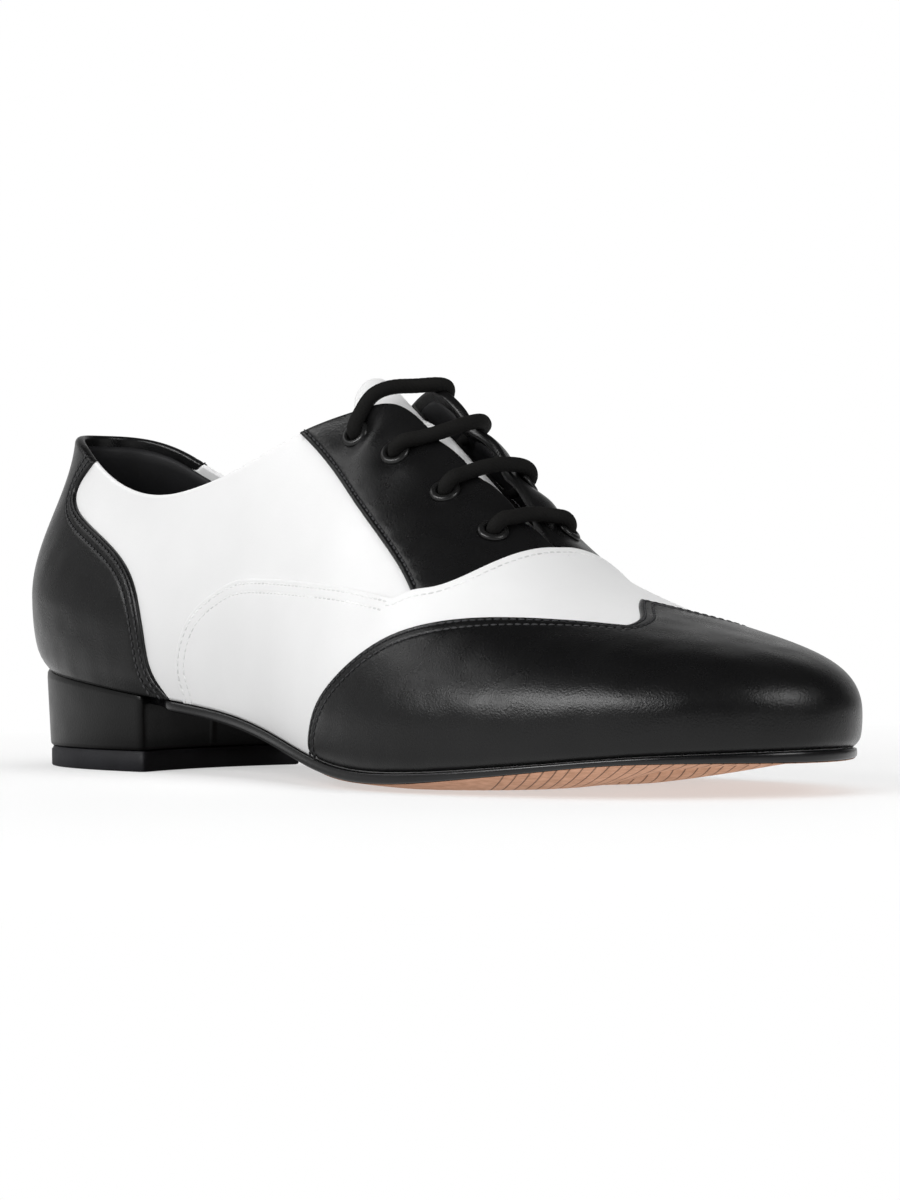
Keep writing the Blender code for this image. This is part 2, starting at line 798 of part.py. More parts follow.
last = last_surface()
upper = shell("upper", last, -WALL, 0.0, white_leather)
body = last.clipped(above_feather)
wing = in_wing()
shell("wing_tip", body.refined(wing).clipped(wing), GAP, GAP + OVERLAY, black_leather)
shell("heel_counter", body.clipped(in_counter()), GAP, GAP + OVERLAY, black_leather)
drilled = [upper]
for facing_side, facing_sign in (("lateral", -1), ("medial", 1)):
    panel = last
    for test in facing_tests(facing_sign):
        panel = panel.clipped(test)
    drilled.append(shell(f"facing_{facing_side}", panel, GAP, GAP + OVERLAY, black_leather))
lace_seats = make_eyelets(eyelet_metal)
cut_lace_holes(lace_seats, drilled)
make_lace(lace_seats, lace_cord)
make_tongue(tongue_leather)
make_sole(edge_paint, suede, sock_leather)
make_heel(heel_cover, lift_rubber)
centre_on_floor()
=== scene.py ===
"""Looks of the black and white dance shoe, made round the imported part.

Tables hold millimetres on the last: x from the back of the heel to the toe, y to the inner side, z up.
Every leather piece is a sheet cut from one function of the last and thickened along its normals.
"""

import math
from collections import namedtuple

import bpy
import numpy as np
from mathutils import Matrix, Vector


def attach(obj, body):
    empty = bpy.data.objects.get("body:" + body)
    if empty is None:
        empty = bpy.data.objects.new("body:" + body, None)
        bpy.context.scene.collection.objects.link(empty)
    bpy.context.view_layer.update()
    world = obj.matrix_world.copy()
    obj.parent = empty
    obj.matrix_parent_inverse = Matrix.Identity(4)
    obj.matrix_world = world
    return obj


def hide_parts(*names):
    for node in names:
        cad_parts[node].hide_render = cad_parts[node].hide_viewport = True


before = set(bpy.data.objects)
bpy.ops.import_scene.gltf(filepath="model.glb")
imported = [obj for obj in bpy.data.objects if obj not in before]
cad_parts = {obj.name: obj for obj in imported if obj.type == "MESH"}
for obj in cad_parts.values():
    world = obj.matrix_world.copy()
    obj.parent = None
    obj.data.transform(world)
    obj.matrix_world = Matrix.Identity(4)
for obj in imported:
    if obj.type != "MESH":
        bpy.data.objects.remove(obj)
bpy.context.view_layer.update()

MM = 0.001


def named_rows(columns, *lines):
    """A table: the names of its columns, and a row for each section."""
    kind = namedtuple("Row", columns)
    return [kind(*line) for line in lines]


# The last, as in the part's source but for the throat's end, the inner edge and the tuck at the heel
LENGTH = 297.5
TIP_SIDE = 8.0
HEEL_FAN = 32.0
TOE_FAN = 50.0
FAN_REACH = 1.05
THROAT_END = 211.0
THROAT_ROUND = 4.0
SLIT_END = 207.0
THROAT_DRAW = (193.0, 236.0)
EDGE_POWER = 7
RIDGE_BLEND = (178.0, 232.0)
INSOLE_INSET = 3.4
FOOT_OUT = 0.75
FOOT_RISE = 0.15
SWELL_DROP = 0.45
STATIONS = named_rows(
    "x lateral medial",
    (12, 20.5, 20.5),
    (40, 30.0, 30.0),
    (72, 30.0, 29.5),
    (105, 28.0, 24.0),
    (140, 34.5, 27.0),
    (170, 42.5, 36.5),
    (195, 46.5, 44.0),
    (220, 45.5, 47.0),
    (245, 40.5, 46.5),
    (270, 30.5, 40.5),
    (288, 14.5, 28.5),
)
FEATHER = named_rows(
    "x height",
    (0, 29.5),
    (40, 26.2),
    (72, 22.2),
    (105, 18.4),
    (125, 15.6),
    (147, 11.6),
    (165, 8.0),
    (184, 5.4),
    (207, 5.0),
    (227, 6.1),
    (250, 8.0),
    (272, 9.9),
    (LENGTH, 11.2),
)
SWELLS = named_rows(
    "x out rise",
    (0, 4.3, 22),
    (40, 2.2, 20),
    (80, 0.8, 16),
    (120, 0.6, 13),
    (160, 1.8, 12),
    (195, 1.8, 11),
    (230, 1.7, 10),
    (265, 1.7, 9),
    (LENGTH, 1.6, 8),
)
# How far the leather is drawn in at the back of the heel
TUCKS = named_rows(
    "x foot swell",
    (0, 2.9, 0.9),
    (8, 2.4, 0.8),
    (25, 1.0, 0.4),
    (50, 0, 0),
    (80, 0, 0),
    (LENGTH, 0, 0),
)
SHAPES = named_rows(
    "x wall_rise top_width top_drop",
    (0, 0.35, 0.10, 0.35),
    (60, 0.35, 0.10, 0.35),
    (110, 0.35, 0.15, 0.25),
    (160, 0.35, 0.20, 0.12),
    (200, 0.40, 0.28, 0.03),
    (225, 0.46, 0.38, 0.0),
    (250, 0.52, 0.55, 0.0),
    (LENGTH, 0.60, 0.60, 0.0),
)
MIDDLES = named_rows(
    "spine side",
    (0, 0),
    (60, 0),
    (110, 0),
    (150, 1),
    (190, 4.5),
    (215, 7),
    (232, 8),
    (260, 9),
)
TOPS = named_rows(
    "spine half_gap height",
    (32, 19.0, 98.6),
    (37, 20.0, 95.6),
    (46, 21.8, 89.2),
    (60, 24.0, 82.0),
    (79, 25.0, 78.2),
    (97, 24.0, 80.5),
    (114, 21.2, 86.2),
    (128, 17.4, 92.5),
    (146, 10.2, 98.6),
    (157, 6.2, 99.6),
    (167, 5.2, 93.5),
    (181, 4.7, 82.8),
    (195, 4.3, 72.5),
    (THROAT_END, 4.0, 59.6),
    (223, 0.0, 52.2),
    (236, 0.0, 46.2),
    (248, 0.0, 42.4),
)
# The inner side's edge stands higher at the instep and closes towards the outer one
INNER_TOPS = named_rows(
    "spine half_gap lift",
    (32, 19.0, 0.0),
    (46, 21.8, 0.0),
    (79, 25.0, 0.0),
    (114, 21.2, 0.3),
    (128, 17.6, 1.2),
    (146, 11.2, 3.6),
    (157, 8.6, 4.8),
    (167, 8.2, 4.2),
    (181, 7.0, 2.4),
    (188, 5.0, 1.0),
    (195, 2.6, 0.2),
    (203, -0.5, 0.0),
    (THROAT_END, -3.2, 0.0),
)

# Panel edges
COUNTER_EDGE = named_rows(
    "height x",
    (15, 90),
    (20.6, 86),
    (26.6, 80.5),
    (36.8, 76.8),
    (47.5, 73.7),
    (55, 69.4),
    (62, 61),
    (69, 47),
    (75, 34.5),
    (83, 30.2),
    (90, 40),
    (99, 55),
)
FACING_EDGE = named_rows(
    "height rear",
    (40.0, 210.0),
    (48.0, 198.0),
    (52.5, 192.0),
    (59.3, 182.0),
    (67.1, 170.0),
    (75.9, 156.6),
    (86.6, 140.0),
    (92.8, 131.0),
    (104.0, 115.0),
)
# The vamp's edge from the side: up the seam behind the heel's breast, along the quarter, under the facing
VAMP_SEAM = named_rows(
    "x height",
    (92.0, 12.0),
    (91.6, 21.2),
    (89.8, 25.5),
    (89.3, 31.8),
    (90.8, 37.0),
    (95.4, 44.3),
    (103.6, 49.6),
    (115, 53.4),
    (125, 53.9),
    (153, 52.5),
    (179, 49.9),
    (192.6, 47.2),
)
VAMP_LIP = named_rows(
    "x height",
    (192.6, 47.2),
    (197.0, 49.2),
    (203.0, 50.0),
    (207.4, 52.3),
    (209.8, 55.5),
    (211.2, 59.5),
    (211.6, 64.0),
)
WING_EDGE = named_rows(
    "x height",
    (165.0, 0.0),
    (166.6, 8.0),
    (168.4, 13.0),
    (171.0, 18.0),
    (175.2, 23.2),
    (181.6, 28.6),
    (189.0, 33.8),
    (196.0, 37.6),
    (203.6, 40.2),
    (212.5, 41.8),
    (228.0, 42.2),
    (243.0, 40.9),
    (251.0, 39.9),
    (300.0, 34.5),
)
WING_POINT = named_rows(
    "from_middle x",
    (0, 236.0),
    (3, 238.6),
    (8, 243.8),
    (14, 249.6),
    (22, 252.6),
    (40, 255.0),
)

# Leather thicknesses and edges
WALL = 1.7
LINING = 0.6
LINING_DROP = 3.0
RIM_WRAP = (2.5, 4.5)
RIM_LAP = 0.5
FOOT_TAPER = (0.35, 0.45)
PANEL = 1.2
FACING = 1.0
VAMP = 0.45
ROUND = 0.85
UNDERLAP = 5.0
LIP_RAMP = 14.0
EDGE_ROUND = 0.8
FACING_ROUND = 0.7
VAMP_ROUND = 0.5
ROUND_SHARES = (0.08, 0.25, 0.5, 1.0)
RimRound = namedtuple("RimRound", "depth radius loops")
COUNTER_RIM = RimRound(1.3, 1.5, (0.1, 0.35, 0.8, 1.5))
FACING_RIM = RimRound(0.9, 1.0, (0.1, 0.3, 0.6, 1.0))
THINNEST = 0.02
EDGE_LEAST = 0.05
VAMP_LOW = 0.01
VAMP_LEAST = 0.04
VAMP_FURROW = 0.35
WING_LOW = 0.3
WING_LEAST = 0.34
WING_EXTRA = 0.05
# The side view of the vamp closes round these corners, past the toe and under the sole
VAMP_CORNERS = ((LENGTH + 30, 64.0), (LENGTH + 30, -10.0), (92.0, -10.0))
# What a panel's value is well outside it
OUTSIDE = -5.0

# Stitch rows, as distances from each panel's edge
COUNTER_STITCHES = (1.7, 4.1)
FACING_STITCHES = (1.7,)
VAMP_STITCHES = (1.4, 2.4, 3.9)
WING_STITCHES = (1.3, 3.5)
FURROW_LOOPS = (-0.6, -0.25, 0.0, 0.25, 0.6)
FURROW_HALF = 0.4
STITCH_PITCH = 2.1
STITCH_LENGTH = 1.75
STITCH_WIDTH = 0.62
STITCH_GROOVE = 0.22
STITCH_SIDES = 8
STITCH_RINGS = 7
STITCH_SINK = 0.02
WING_SINK = 0.03
VAMP_SINK = 0.1

# Eyelets and lace
LACE_PAIRS = named_rows(
    "x inset inner crossing",
    (151.4, 8.6, 8.6, 161.0),
    (168.0, 12.8, 10.0, 175.5),
    (188.6, 12.2, 9.0, 191.0),
    (208.6, 12.8, 10.0, 210.0),
)
SIDES = {"lateral": -1, "medial": 1}
PAD_DEPTH = 1.1
PAD_REACH = 5.5
LACE_PRESS = 1.1
PRESS_REACH = 4.0
BRINK = 0.8
SEAT_STEPS = 300
EYELET_BORE = 2.25
EYELET_RIM = 3.9
EYELET_BARREL = 2.0
EYELET_SIDES = 40
EYELET_WALL = 0.4
EYELET_UNDER = 0.3
EYELET_SINK = 0.4
EYELET_ROLL = named_rows(
    "out up",
    (0.0, 0.25),
    (0.08, 0.5),
    (0.3, 0.76),
    (0.7, 0.9),
    (1.15, 0.82),
    (1.5, 0.6),
    (1.74, 0.3),
    (1.85, -0.1),
)
LACE_RADIUS = 1.95

# Sole and heel
EDGE_REACH = 1.5
SEAT_INSET = 4.2
SEAT_END = 82.0
SEAT_BLEND = 2.0
TREAD_REAR = 84.0
TREAD_INSET = 0.5
TREAD_EDGE = 0.3
SHANK_INSET = 5.0
SHANK_BLEND = (140.0, 182.0)
TREAD_BOW = 2.6
SOLE_ROWS = named_rows(
    "x edge crown",
    (0, 3.0, 1.5),
    (90, 3.0, 1.5),
    (170, 3.0, 2.0),
    (207, 2.8, 3.5),
    (226, 2.3, 4.5),
    (250, 1.8, 4.7),
    (265, 1.6, 4.4),
    (280, 2.0, 3.0),
    (LENGTH, 2.9, 1.0),
)
# Further in from an outline than its middle
CENTRE = 200.0
# The sole's edge from the top face round to the bottom one: distance in, and share of the thickness down
SOLE_EDGE = [(CENTRE, 0), (12, 0), (3, 0), (2.2, 0.02), (1.7, 0.12), (1.0, 0.13), (0.45, 0.1), (0.2, 0.14)]
SOLE_EDGE += [(0.07, 0.24), (0, 0.4), (0, 0.7), (0.06, 0.84), (0.3, 0.96), (0.7, 1), (3, 1), (12, 1)]
SOLE_EDGE += [(CENTRE, 1)]
SOLE_GAP = 0.05
INSOLE = 1.8
SOCK_INSET = 1.5
# The sock's edge the same way: distance in, and height over the feather line
SOCK_EDGE = [(CENTRE, INSOLE), (12, INSOLE), (0.6, INSOLE), (0, INSOLE - 0.5)]
SOCK_EDGE += [(0, 0.05), (12, 0.02), (CENTRE, 0.02)]
TREAD_RINGS = 30
TREAD_SPAN = 44.0
TREAD_POWER = 1.5
TREAD_GAP = 0.02
TREAD_BRINK = 0.15
TREAD_LAP = 1.0
TREAD_TUCK = 0.1
HEEL_LENGTH = 74.0
HEEL_INSET = 0.2
HEEL_PLACE = 0.4
HEEL_POINTS = 400
HEEL_SIDES = 360
BREAST_POINTS = 120
BREAST_DRAW = 0.3
HEEL_TAPER = (0.975, 0.965)
BREAST_CURVE = 6.0
BREAST_HALF = 30.0
BREAST_SEAM = 0.45
BREAST_SEAM_WIDE = 0.6
# The covered heel's sides, from its foot up: share of the height, and how far the edge is drawn in
HEEL_RINGS = [(0, 1.2), (0, 0.5), (0.02, 0.12), (0.06, 0), (0.3, 0), (0.6, 0), (0.9, 0), (0.97, 0.15)]
HEEL_RINGS += [(1, 0.6), (1, 4)]
LIFT = 5.8
# The lift's sides, from the floor up: height, and how far the edge is drawn in
LIFT_RINGS = [(0, 1.2), (0, 0.6), (0.12, 0.2), (0.45, 0), (2.5, 0), (4.9, 0), (5.1, 0.3), (5.5, 0.45)]
LIFT_RINGS += [(LIFT, 0.6), (LIFT, 3)]
LIFT_INSET = 1.4
GAP = 0.3

# The top bar's loose loop, the braid, the tongue and the tread's grooves
TOP_LOOP = named_rows("share up", (0.06, 5.6), (0.2, 8.4), (0.42, 8.0), (0.72, 5.0))
# The bars in the order that the lace takes them, from one side to the other by turns
LACE_ORDER = (1, 3, 4, 2)
LACE_TUCK = 4.6
RUN_TUCK = LACE_TUCK + 1.0
RUN_SHARES = (0.25, 0.5, 0.75)
RUN_GIRTH = 0.55
# Each end of a bar: depths inside its eyelet, then height over the lying cord and way to the throat
BAR_DEPTHS = (4.4, 1.5)
BAR_ENDS = named_rows("up ahead", (-1.4, 0.4), (0.2, 2.8), (-0.2, 6.0))
BAR_GIRTHS = [0.62, 0.9]
TOP_CLEAR = 0.6
# The lace's two ends, hidden behind the near top eyelet
LACE_START = named_rows("shift girth", ((3.0, 2.0, 2.5), 0.55), ((1.0, 0.7, 0.8), 0.6))
END_TUCK = LACE_TUCK + 1.6
END_SHIFT = (2.0, 0.0, -2.0)
END_GIRTH = 0.5
LACE_STEP = 0.22
LACE_SIDES = 40
BRAID_PITCH = 9.0
BRAID_STRANDS = 12
BRAID_RELIEF = 0.035
TONGUE_ROWS = named_rows(
    "x reach depth",
    (157, 11.0, 5.0),
    (164, 11.5, 6.4),
    (172, 12.0, 7.4),
    (184, 12.0, 7.8),
    (196, 12.0, 7.6),
    (208, 12.0, 7.0),
    (217, 11.0, 6.4),
)
TONGUE_UNDER = 4.8
TONGUE_ALONG = 80
TONGUE_ACROSS = 60
TAB_LENGTH = 19.6
TAB_WAY = (-0.79, 0.0, 0.61)
TAB_ROUND = 4.0
TAB_LEAST = 0.06
TAB_COUNT = 28
TONGUE = 1.4
TONGUE_LIP = 0.45
TONGUE_ROUND = 3
GROOVE_PITCH = 5.05
GROOVE_LEAN = 1.45
GROOVE_START = 177.0
GROOVE_HALF = 0.075
CORNER_SOFTEN = 10

# Camera, lights, and how bright world and floor are to everything but the camera
CAMERA_ANGLES = (50.22, 0.31, -0.6)
CAMERA_TARGET = (150.0, 0.0, 40.0)
CAMERA_DISTANCE = 847.85
CAMERA_FOCAL = 3145.34
CAMERA_SHIFT = (-55.27, 28.53)
PICTURE_HEIGHT = 1200
SENSOR = 36.0
CAMERA_CLIP = (0.01, 50.0)
WORLD_LOW = 0.42
WORLD_HIGH = 0.05
WORLD_FADE = (0.2, 0.75)
WORLD_LOBES = named_rows(
    "way start end dim bright",
    ((-0.574, -0.819, 0.0), 0.2, 0.9, 0.2, 1.0),
    ((-0.819, 0.574, 0.0), 0.5, 0.98, 0.0, 1.8),
)
FLOOR_WHITE = (0.95, 0.95, 0.95, 1)
FLOOR_RINGS = (0.0, 0.3, 0.6, 1.2, 6.0)
FLOOR_SIDES = 96
# The floor glows on the shoe; FLOOR_SHADE is painted shade in that glow round SHADE_MIDDLE, under the waist
# and the heel's breast
FLOOR_GLOW = 0.95
FLOOR_SHADE = 0.08
FLOOR_CLEAR = 0.5
FLOOR_FADE = (0.12, 0.4)
SHADE_FADE = (0.04, 0.17)
FLOOR_DROP = 0.0001
SHADE_MIDDLE = (-0.06, 0.0, 0.0)
LIGHTS = named_rows(
    "name place target size power lit mirrored",
    ("key_softbox", (-0.02, -1.06, 0.65), (0.0, 0.0, 0.05), (1.3, 0.34), 8.4, True, True),
    ("key_shine", (0.02, -1.05, 0.62), (0.0, 0.0, 0.05), (0.9, 0.24), 4.2, False, True),
    ("toe_softbox", (0.97, 0.12, 0.6), (0.1, 0.0, 0.03), (0.4, 0.4), 3.0, True, True),
    ("toe_shine", (0.97, 0.12, 0.6), (0.1, 0.0, 0.03), (0.3, 0.3), 2.6, False, True),
    ("heel_softbox", (-0.81, -0.47, 0.82), (0.0, 0.0, 0.05), (0.5, 0.42), 1.3, True, True),
    ("side_fill", (-0.4, -1.3, 0.3), (0.0, 0.0, 0.05), (1.4, 0.5), 2.6, True, False),
    ("back_fill", (-0.4, 1.3, 0.5), (0.0, 0.0, 0.05), (1.4, 0.7), 5.0, True, False),
    ("top_fill", (0.2, 0.0, 1.5), (0.08, 0.0, 0.0), (1.2, 1.2), 12.5, True, False),
)

# Mesh density
AROUND = 560
LOWER_ROWS = 10
UPPER_ROWS = 44
# Distances from an edge are true up to here
FAR = 30.0


def column(rows, name):
    return np.array([getattr(row, name) for row in rows], float)


def smooth(xs, ys):
    """The natural cubic spline through a table, as a function."""
    steps = np.diff(xs)
    count = len(xs)
    matrix = np.eye(count)
    right = np.zeros(count)
    for i in range(1, count - 1):
        matrix[i, i - 1 : i + 2] = steps[i - 1], 2 * (steps[i - 1] + steps[i]), steps[i]
        right[i] = 6 * ((ys[i + 1] - ys[i]) / steps[i] - (ys[i] - ys[i - 1]) / steps[i - 1])
    bends = np.linalg.solve(matrix, right)

    def value(x):
        x = np.asarray(x, float)
        i = np.clip(np.searchsorted(xs, x) - 1, 0, count - 2)
        before = xs[i + 1] - x
        after = x - xs[i]
        cubic = (bends[i] * before**3 + bends[i + 1] * after**3) / (6 * steps[i])
        line_start = (ys[i] / steps[i] - bends[i] * steps[i] / 6) * before
        line_end = (ys[i + 1] / steps[i] - bends[i + 1] * steps[i] / 6) * after
        return cubic + line_start + line_end

    return value


def table(rows, key, name):
    return smooth(column(rows, key), column(rows, name))


def ease(x, start, end):
    """0 before start, 1 after end, and smooth between."""
    t = np.clip((np.asarray(x, float) - start) / (end - start), 0, 1)
    return t * t * (3 - 2 * t)


def angle_of(x):
    return np.arccos(np.clip(1 - 2 * np.asarray(x, float) / LENGTH, -1, 1)) / math.pi


def outline_side():
    places = angle_of(column(STATIONS, "x"))
    around = np.concatenate([-places[::-1], [0.0], places, [1.0]])
    side = np.concatenate([-column(STATIONS, "lateral")[::-1], [0.0], column(STATIONS, "medial"), [TIP_SIDE]])
    turns = np.concatenate([around - 2, around, around + 2])
    return smooth(turns, np.tile(side, 3))


side_at = outline_side()
feather_at = table(FEATHER, "x", "height")
swell_out = table(SWELLS, "x", "out")
swell_rise = table(SWELLS, "x", "rise")
foot_tuck = table(TUCKS, "x", "foot")
swell_tuck = table(TUCKS, "x", "swell")
wall_rise = table(SHAPES, "x", "wall_rise")
top_width = table(SHAPES, "x", "top_width")
top_drop = table(SHAPES, "x", "top_drop")
middle_at = table(MIDDLES, "spine", "side")
half_gap_at = table([top for top in TOPS if top.half_gap], "spine", "half_gap")
top_at = table(TOPS, "spine", "height")
edge_thickness = table(SOLE_ROWS, "x", "edge")
tread_crown = table(SOLE_ROWS, "x", "crown")
inner_gap_at = table(INNER_TOPS, "spine", "half_gap")
inner_lift_at = table(INNER_TOPS, "spine", "lift")


def spine_of(x):
    heel = HEEL_FAN * np.exp(-x / (FAN_REACH * HEEL_FAN))
    toe = TOE_FAN * np.exp((x - LENGTH) / (FAN_REACH * TOE_FAN))
    return x + heel - toe


def cubic_curve(u, a, b, c, d):
    v = 1 - u
    return v**3 * a + 3 * v * v * u * b + 3 * v * u * u * c + u**3 * d


def throat_of(spine_x):
    """Half the opening at its edge and as the leather below feels it, and its shift to the inner side."""
    before = np.minimum(spine_x, THROAT_END)
    half = (half_gap_at(before) + inner_gap_at(before)) / 2
    aside = (inner_gap_at(before) - half_gap_at(before)) / 2
    past = np.clip((spine_x - SLIT_END) / THROAT_ROUND, 0, 1)
    drawn = half * (1 - ease(spine_x, *THROAT_DRAW))
    return half * np.sqrt(1 - past**2), drawn, aside * (1 - ease(spine_x, SLIT_END, THROAT_DRAW[1]))


def edge_height(place, spine_x):
    lift = np.where(spine_x < THROAT_END, inner_lift_at(np.minimum(spine_x, THROAT_END)), 0.0)
    return top_at(spine_x) + np.where(place > 0, lift, 0.0)


def plan_of(place):
    """Foot of each section on the outline, its spine point, the way out and the width between them."""
    x = LENGTH * (1 - np.cos(math.pi * place)) / 2
    foot = np.stack([x, side_at(place)], -1)
    spine_x = spine_of(x)
    spine = np.stack([spine_x, middle_at(spine_x)], -1)
    width = np.linalg.norm(foot - spine, axis=-1)
    return x, foot, spine, (foot - spine) / width[..., None], width


def last_points(place, climb):
    """The last at places round the outline and climbs: 0 at the feather, 1 at the swell, 2 at the top."""
    x, _, spine, outward, width = plan_of(place)
    spine_x = spine[..., 0]
    low = feather_at(x)
    wide = width + swell_out(x) - swell_tuck(x)
    width = width - foot_tuck(x)
    waist = low + swell_rise(x)
    slit, gap, aside = throat_of(spine_x)
    top = edge_height(place, spine_x)
    closed = ease(spine_x, *RIDGE_BLEND)
    ridge_slope = closed * (top_at(spine_x + 0.5) - top_at(spine_x - 0.5))
    handle_out = top_width(x) * (wide - gap)
    handle_down = top_drop(x) * (top - waist) - ridge_slope * handle_out * outward[..., 0]
    u = np.clip(climb, 0, 1)
    v = np.clip(climb - 1, 0, 1)
    lower_radius = cubic_curve(u, width, width + FOOT_OUT * (wide - width), wide, wide)
    upper_radius = cubic_curve(v, wide, wide, gap + handle_out, gap)
    upper_radius = upper_radius + (slit - gap) * v**EDGE_POWER
    rise = waist - low
    lower_height = cubic_curve(u, low, low + FOOT_RISE * rise, waist - SWELL_DROP * rise, waist)
    upper_height = cubic_curve(v, waist, waist + wall_rise(x) * (top - waist), top - handle_down, top)
    radius = np.where(climb < 1, lower_radius, upper_radius)
    height = np.where(climb < 1, lower_height, upper_height)
    plan = spine + outward * radius[..., None]
    plan[..., 1] += aside * v * v * (3 - 2 * v)
    return np.concatenate([plan, height[..., None]], -1)


def unit(vectors):
    return vectors / np.maximum(np.linalg.norm(vectors, axis=-1, keepdims=True), 1e-12)


def last_normals(place, climb):
    step = 0.002
    inner = np.clip(climb, step, 2 - step)
    along = last_points(place + step / 4, inner) - last_points(place - step / 4, inner)
    up = last_points(place, inner + step) - last_points(place, inner - step)
    return unit(np.cross(up, along))


def last_origin():
    """Where the back of the last's heel lies in the frame, from the rearmost point of the insole."""
    rear = min((vertex.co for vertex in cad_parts["insole"].data.vertices), key=lambda co: co.x)
    return np.array([rear.x / MM - INSOLE_INSET, rear.y / MM, 0.0])


ORIGIN = last_origin()


def to_frame(points):
    return (np.asarray(points, float) + ORIGIN) * MM


class Sheet:
    """Triangles on the last: place and climb of each point, and named numbers that go with the points."""

    def __init__(self, place, climb, faces, fields=None):
        self.place = place
        self.climb = climb
        self.faces = faces
        self.fields = dict(fields or {})

    def points(self):
        return last_points(self.place, self.climb)

    def normals(self):
        return last_normals(self.place, self.climb)

    def split(self, name, level, snap=0.03):
        """The same sheet with every triangle cut where a field passes a level."""
        value = self.fields[name] - level
        value = np.where(np.abs(value) < snap, 0.0, value)
        sign = np.sign(value).astype(int)
        corner = sign[self.faces]
        crossed = (corner.min(1) < 0) & (corner.max(1) > 0)
        kept = [self.faces[~crossed]]
        cut_faces = self.faces[crossed]
        corner = corner[crossed]
        touching = (corner == 0).any(1)
        turn = np.where(touching, np.argmax(corner == 0, 1), np.argmax(corner == -corner.sum(1)[:, None], 1))
        order = (turn[:, None] + np.arange(3)) % 3
        cut_faces = np.take_along_axis(cut_faces, order, 1)
        count = len(self.place)
        a, b, c = cut_faces.T
        first = np.where(touching, b, a)
        second = np.where(touching, c, b)
        pairs = np.concatenate([np.stack([first, second], 1), np.stack([a, c], 1)[~touching]])
        keys = pairs.min(1) * count + pairs.max(1)
        unique, index = np.unique(keys, return_inverse=True)
        low, high = unique // count, unique % count
        share = value[low] / (value[low] - value[high])
        new = index.reshape(-1) + count
        one = new[: len(cut_faces)]
        t = touching
        kept += [np.stack([a[t], b[t], one[t]], 1), np.stack([a[t], one[t], c[t]], 1)]
        n = ~touching
        two = new[len(cut_faces) :]
        kept += [
            np.stack([a[n], one[n], two], 1),
            np.stack([one[n], b[n], c[n]], 1),
            np.stack([one[n], c[n], two], 1),
        ]

        def mixed(field):
            return np.concatenate([field, field[low] * (1 - share) + field[high] * share])

        fields = {key: mixed(field) for key, field in self.fields.items()}
        fields[name][: len(value)][value == 0] = level
        fields[name][len(value) :] = level
        return Sheet(mixed(self.place), mixed(self.climb), np.concatenate(kept), fields)

    def kept(self, mask):
        """Only the triangles of a mask."""
        faces = self.faces[mask]
        used, index = np.unique(faces, return_inverse=True)
        fields = {key: field[used] for key, field in self.fields.items()}
        return Sheet(self.place[used], self.climb[used], index.reshape(-1, 3), fields)

    def where(self, name, level):
        """The part where a field is above a level, cut along it."""
        cut = self.split(name, level)
        return cut.kept(cut.fields[name][cut.faces].max(1) > level)

    def contour(self, name, level=0.0):
        """Lines along a level of a field: arrays of place and climb."""
        value = self.fields[name] - level
        value = np.where(value == 0, 1e-9, value)
        above = value[self.faces] > 0
        crossed = self.faces[above.any(1) & ~above.all(1)]
        ends = []
        for a, b in ((0, 1), (1, 2), (2, 0)):
            start, end = crossed[:, a], crossed[:, b]
            hit = (value[start] > 0) != (value[end] > 0)
            low, high = np.minimum(start, end), np.maximum(start, end)
            share = value[low] / np.where(hit, value[low] - value[high], 1.0)
            both = (self.place, self.climb)
            spot = np.stack([field[low] * (1 - share) + field[high] * share for field in both], 1)
            ends.append(np.where(hit[:, None], spot, np.nan))
        return np.array([row[~np.isnan(row[:, 0])] for row in np.stack(ends, 1)])


def last_grid(around, lower, upper):
    places = np.linspace(-1, 1, around + 1)
    climbs = np.concatenate([np.linspace(0, 1, lower + 1)[:-1], np.linspace(1, 2, upper + 1)])
    place, climb = np.meshgrid(places, climbs)
    index = np.arange(place.size).reshape(place.shape)
    a, b = index[:-1, :-1].ravel(), index[:-1, 1:].ravel()
    c, d = index[1:, 1:].ravel(), index[1:, :-1].ravel()
    faces = np.concatenate([np.stack([b, a, d], 1), np.stack([b, d, c], 1)])
    return Sheet(place.ravel(), climb.ravel(), faces)


def chains(pairs, reach=0.02):
    """Segments of place and climb joined end to end into lines."""
    points = last_points(pairs[..., 0], pairs[..., 1])
    keys = np.round(points / reach).astype(int)
    links = {}
    for number, (start, end) in enumerate(keys):
        links.setdefault(tuple(start), []).append((number, 0))
        links.setdefault(tuple(end), []).append((number, 1))
    left = set(range(len(pairs)))
    lines = []

    def follow(number, side):
        line = []
        while number is not None:
            left.discard(number)
            line.append(pairs[number, 1 - side])
            key = tuple(keys[number, 1 - side])
            number, side = next(((n, s) for n, s in links[key] if n in left), (None, None))
        return line

    while left:
        number = min(left)
        ahead = follow(number, 0)
        start_key = tuple(keys[number, 0])
        back = next(((n, s) for n, s in links[start_key] if n in left), None)
        behind = follow(*back) if back else []
        lines.append(np.array(behind[::-1] + [pairs[number, 0]] + ahead))
    return lines


def distance_to(points, segments, chunk=1500):
    """Distance of each point from the nearest of the segments."""
    start = segments[:, 0]
    along = segments[:, 1] - start
    length = np.maximum((along**2).sum(1), 1e-12)
    found = []
    for i in range(0, len(points), chunk):
        away = points[i : i + chunk, None] - start
        share = np.clip((away * along).sum(2) / length, 0, 1)
        found.append(np.linalg.norm(away - share[..., None] * along, axis=2).min(1))
    return np.concatenate(found)


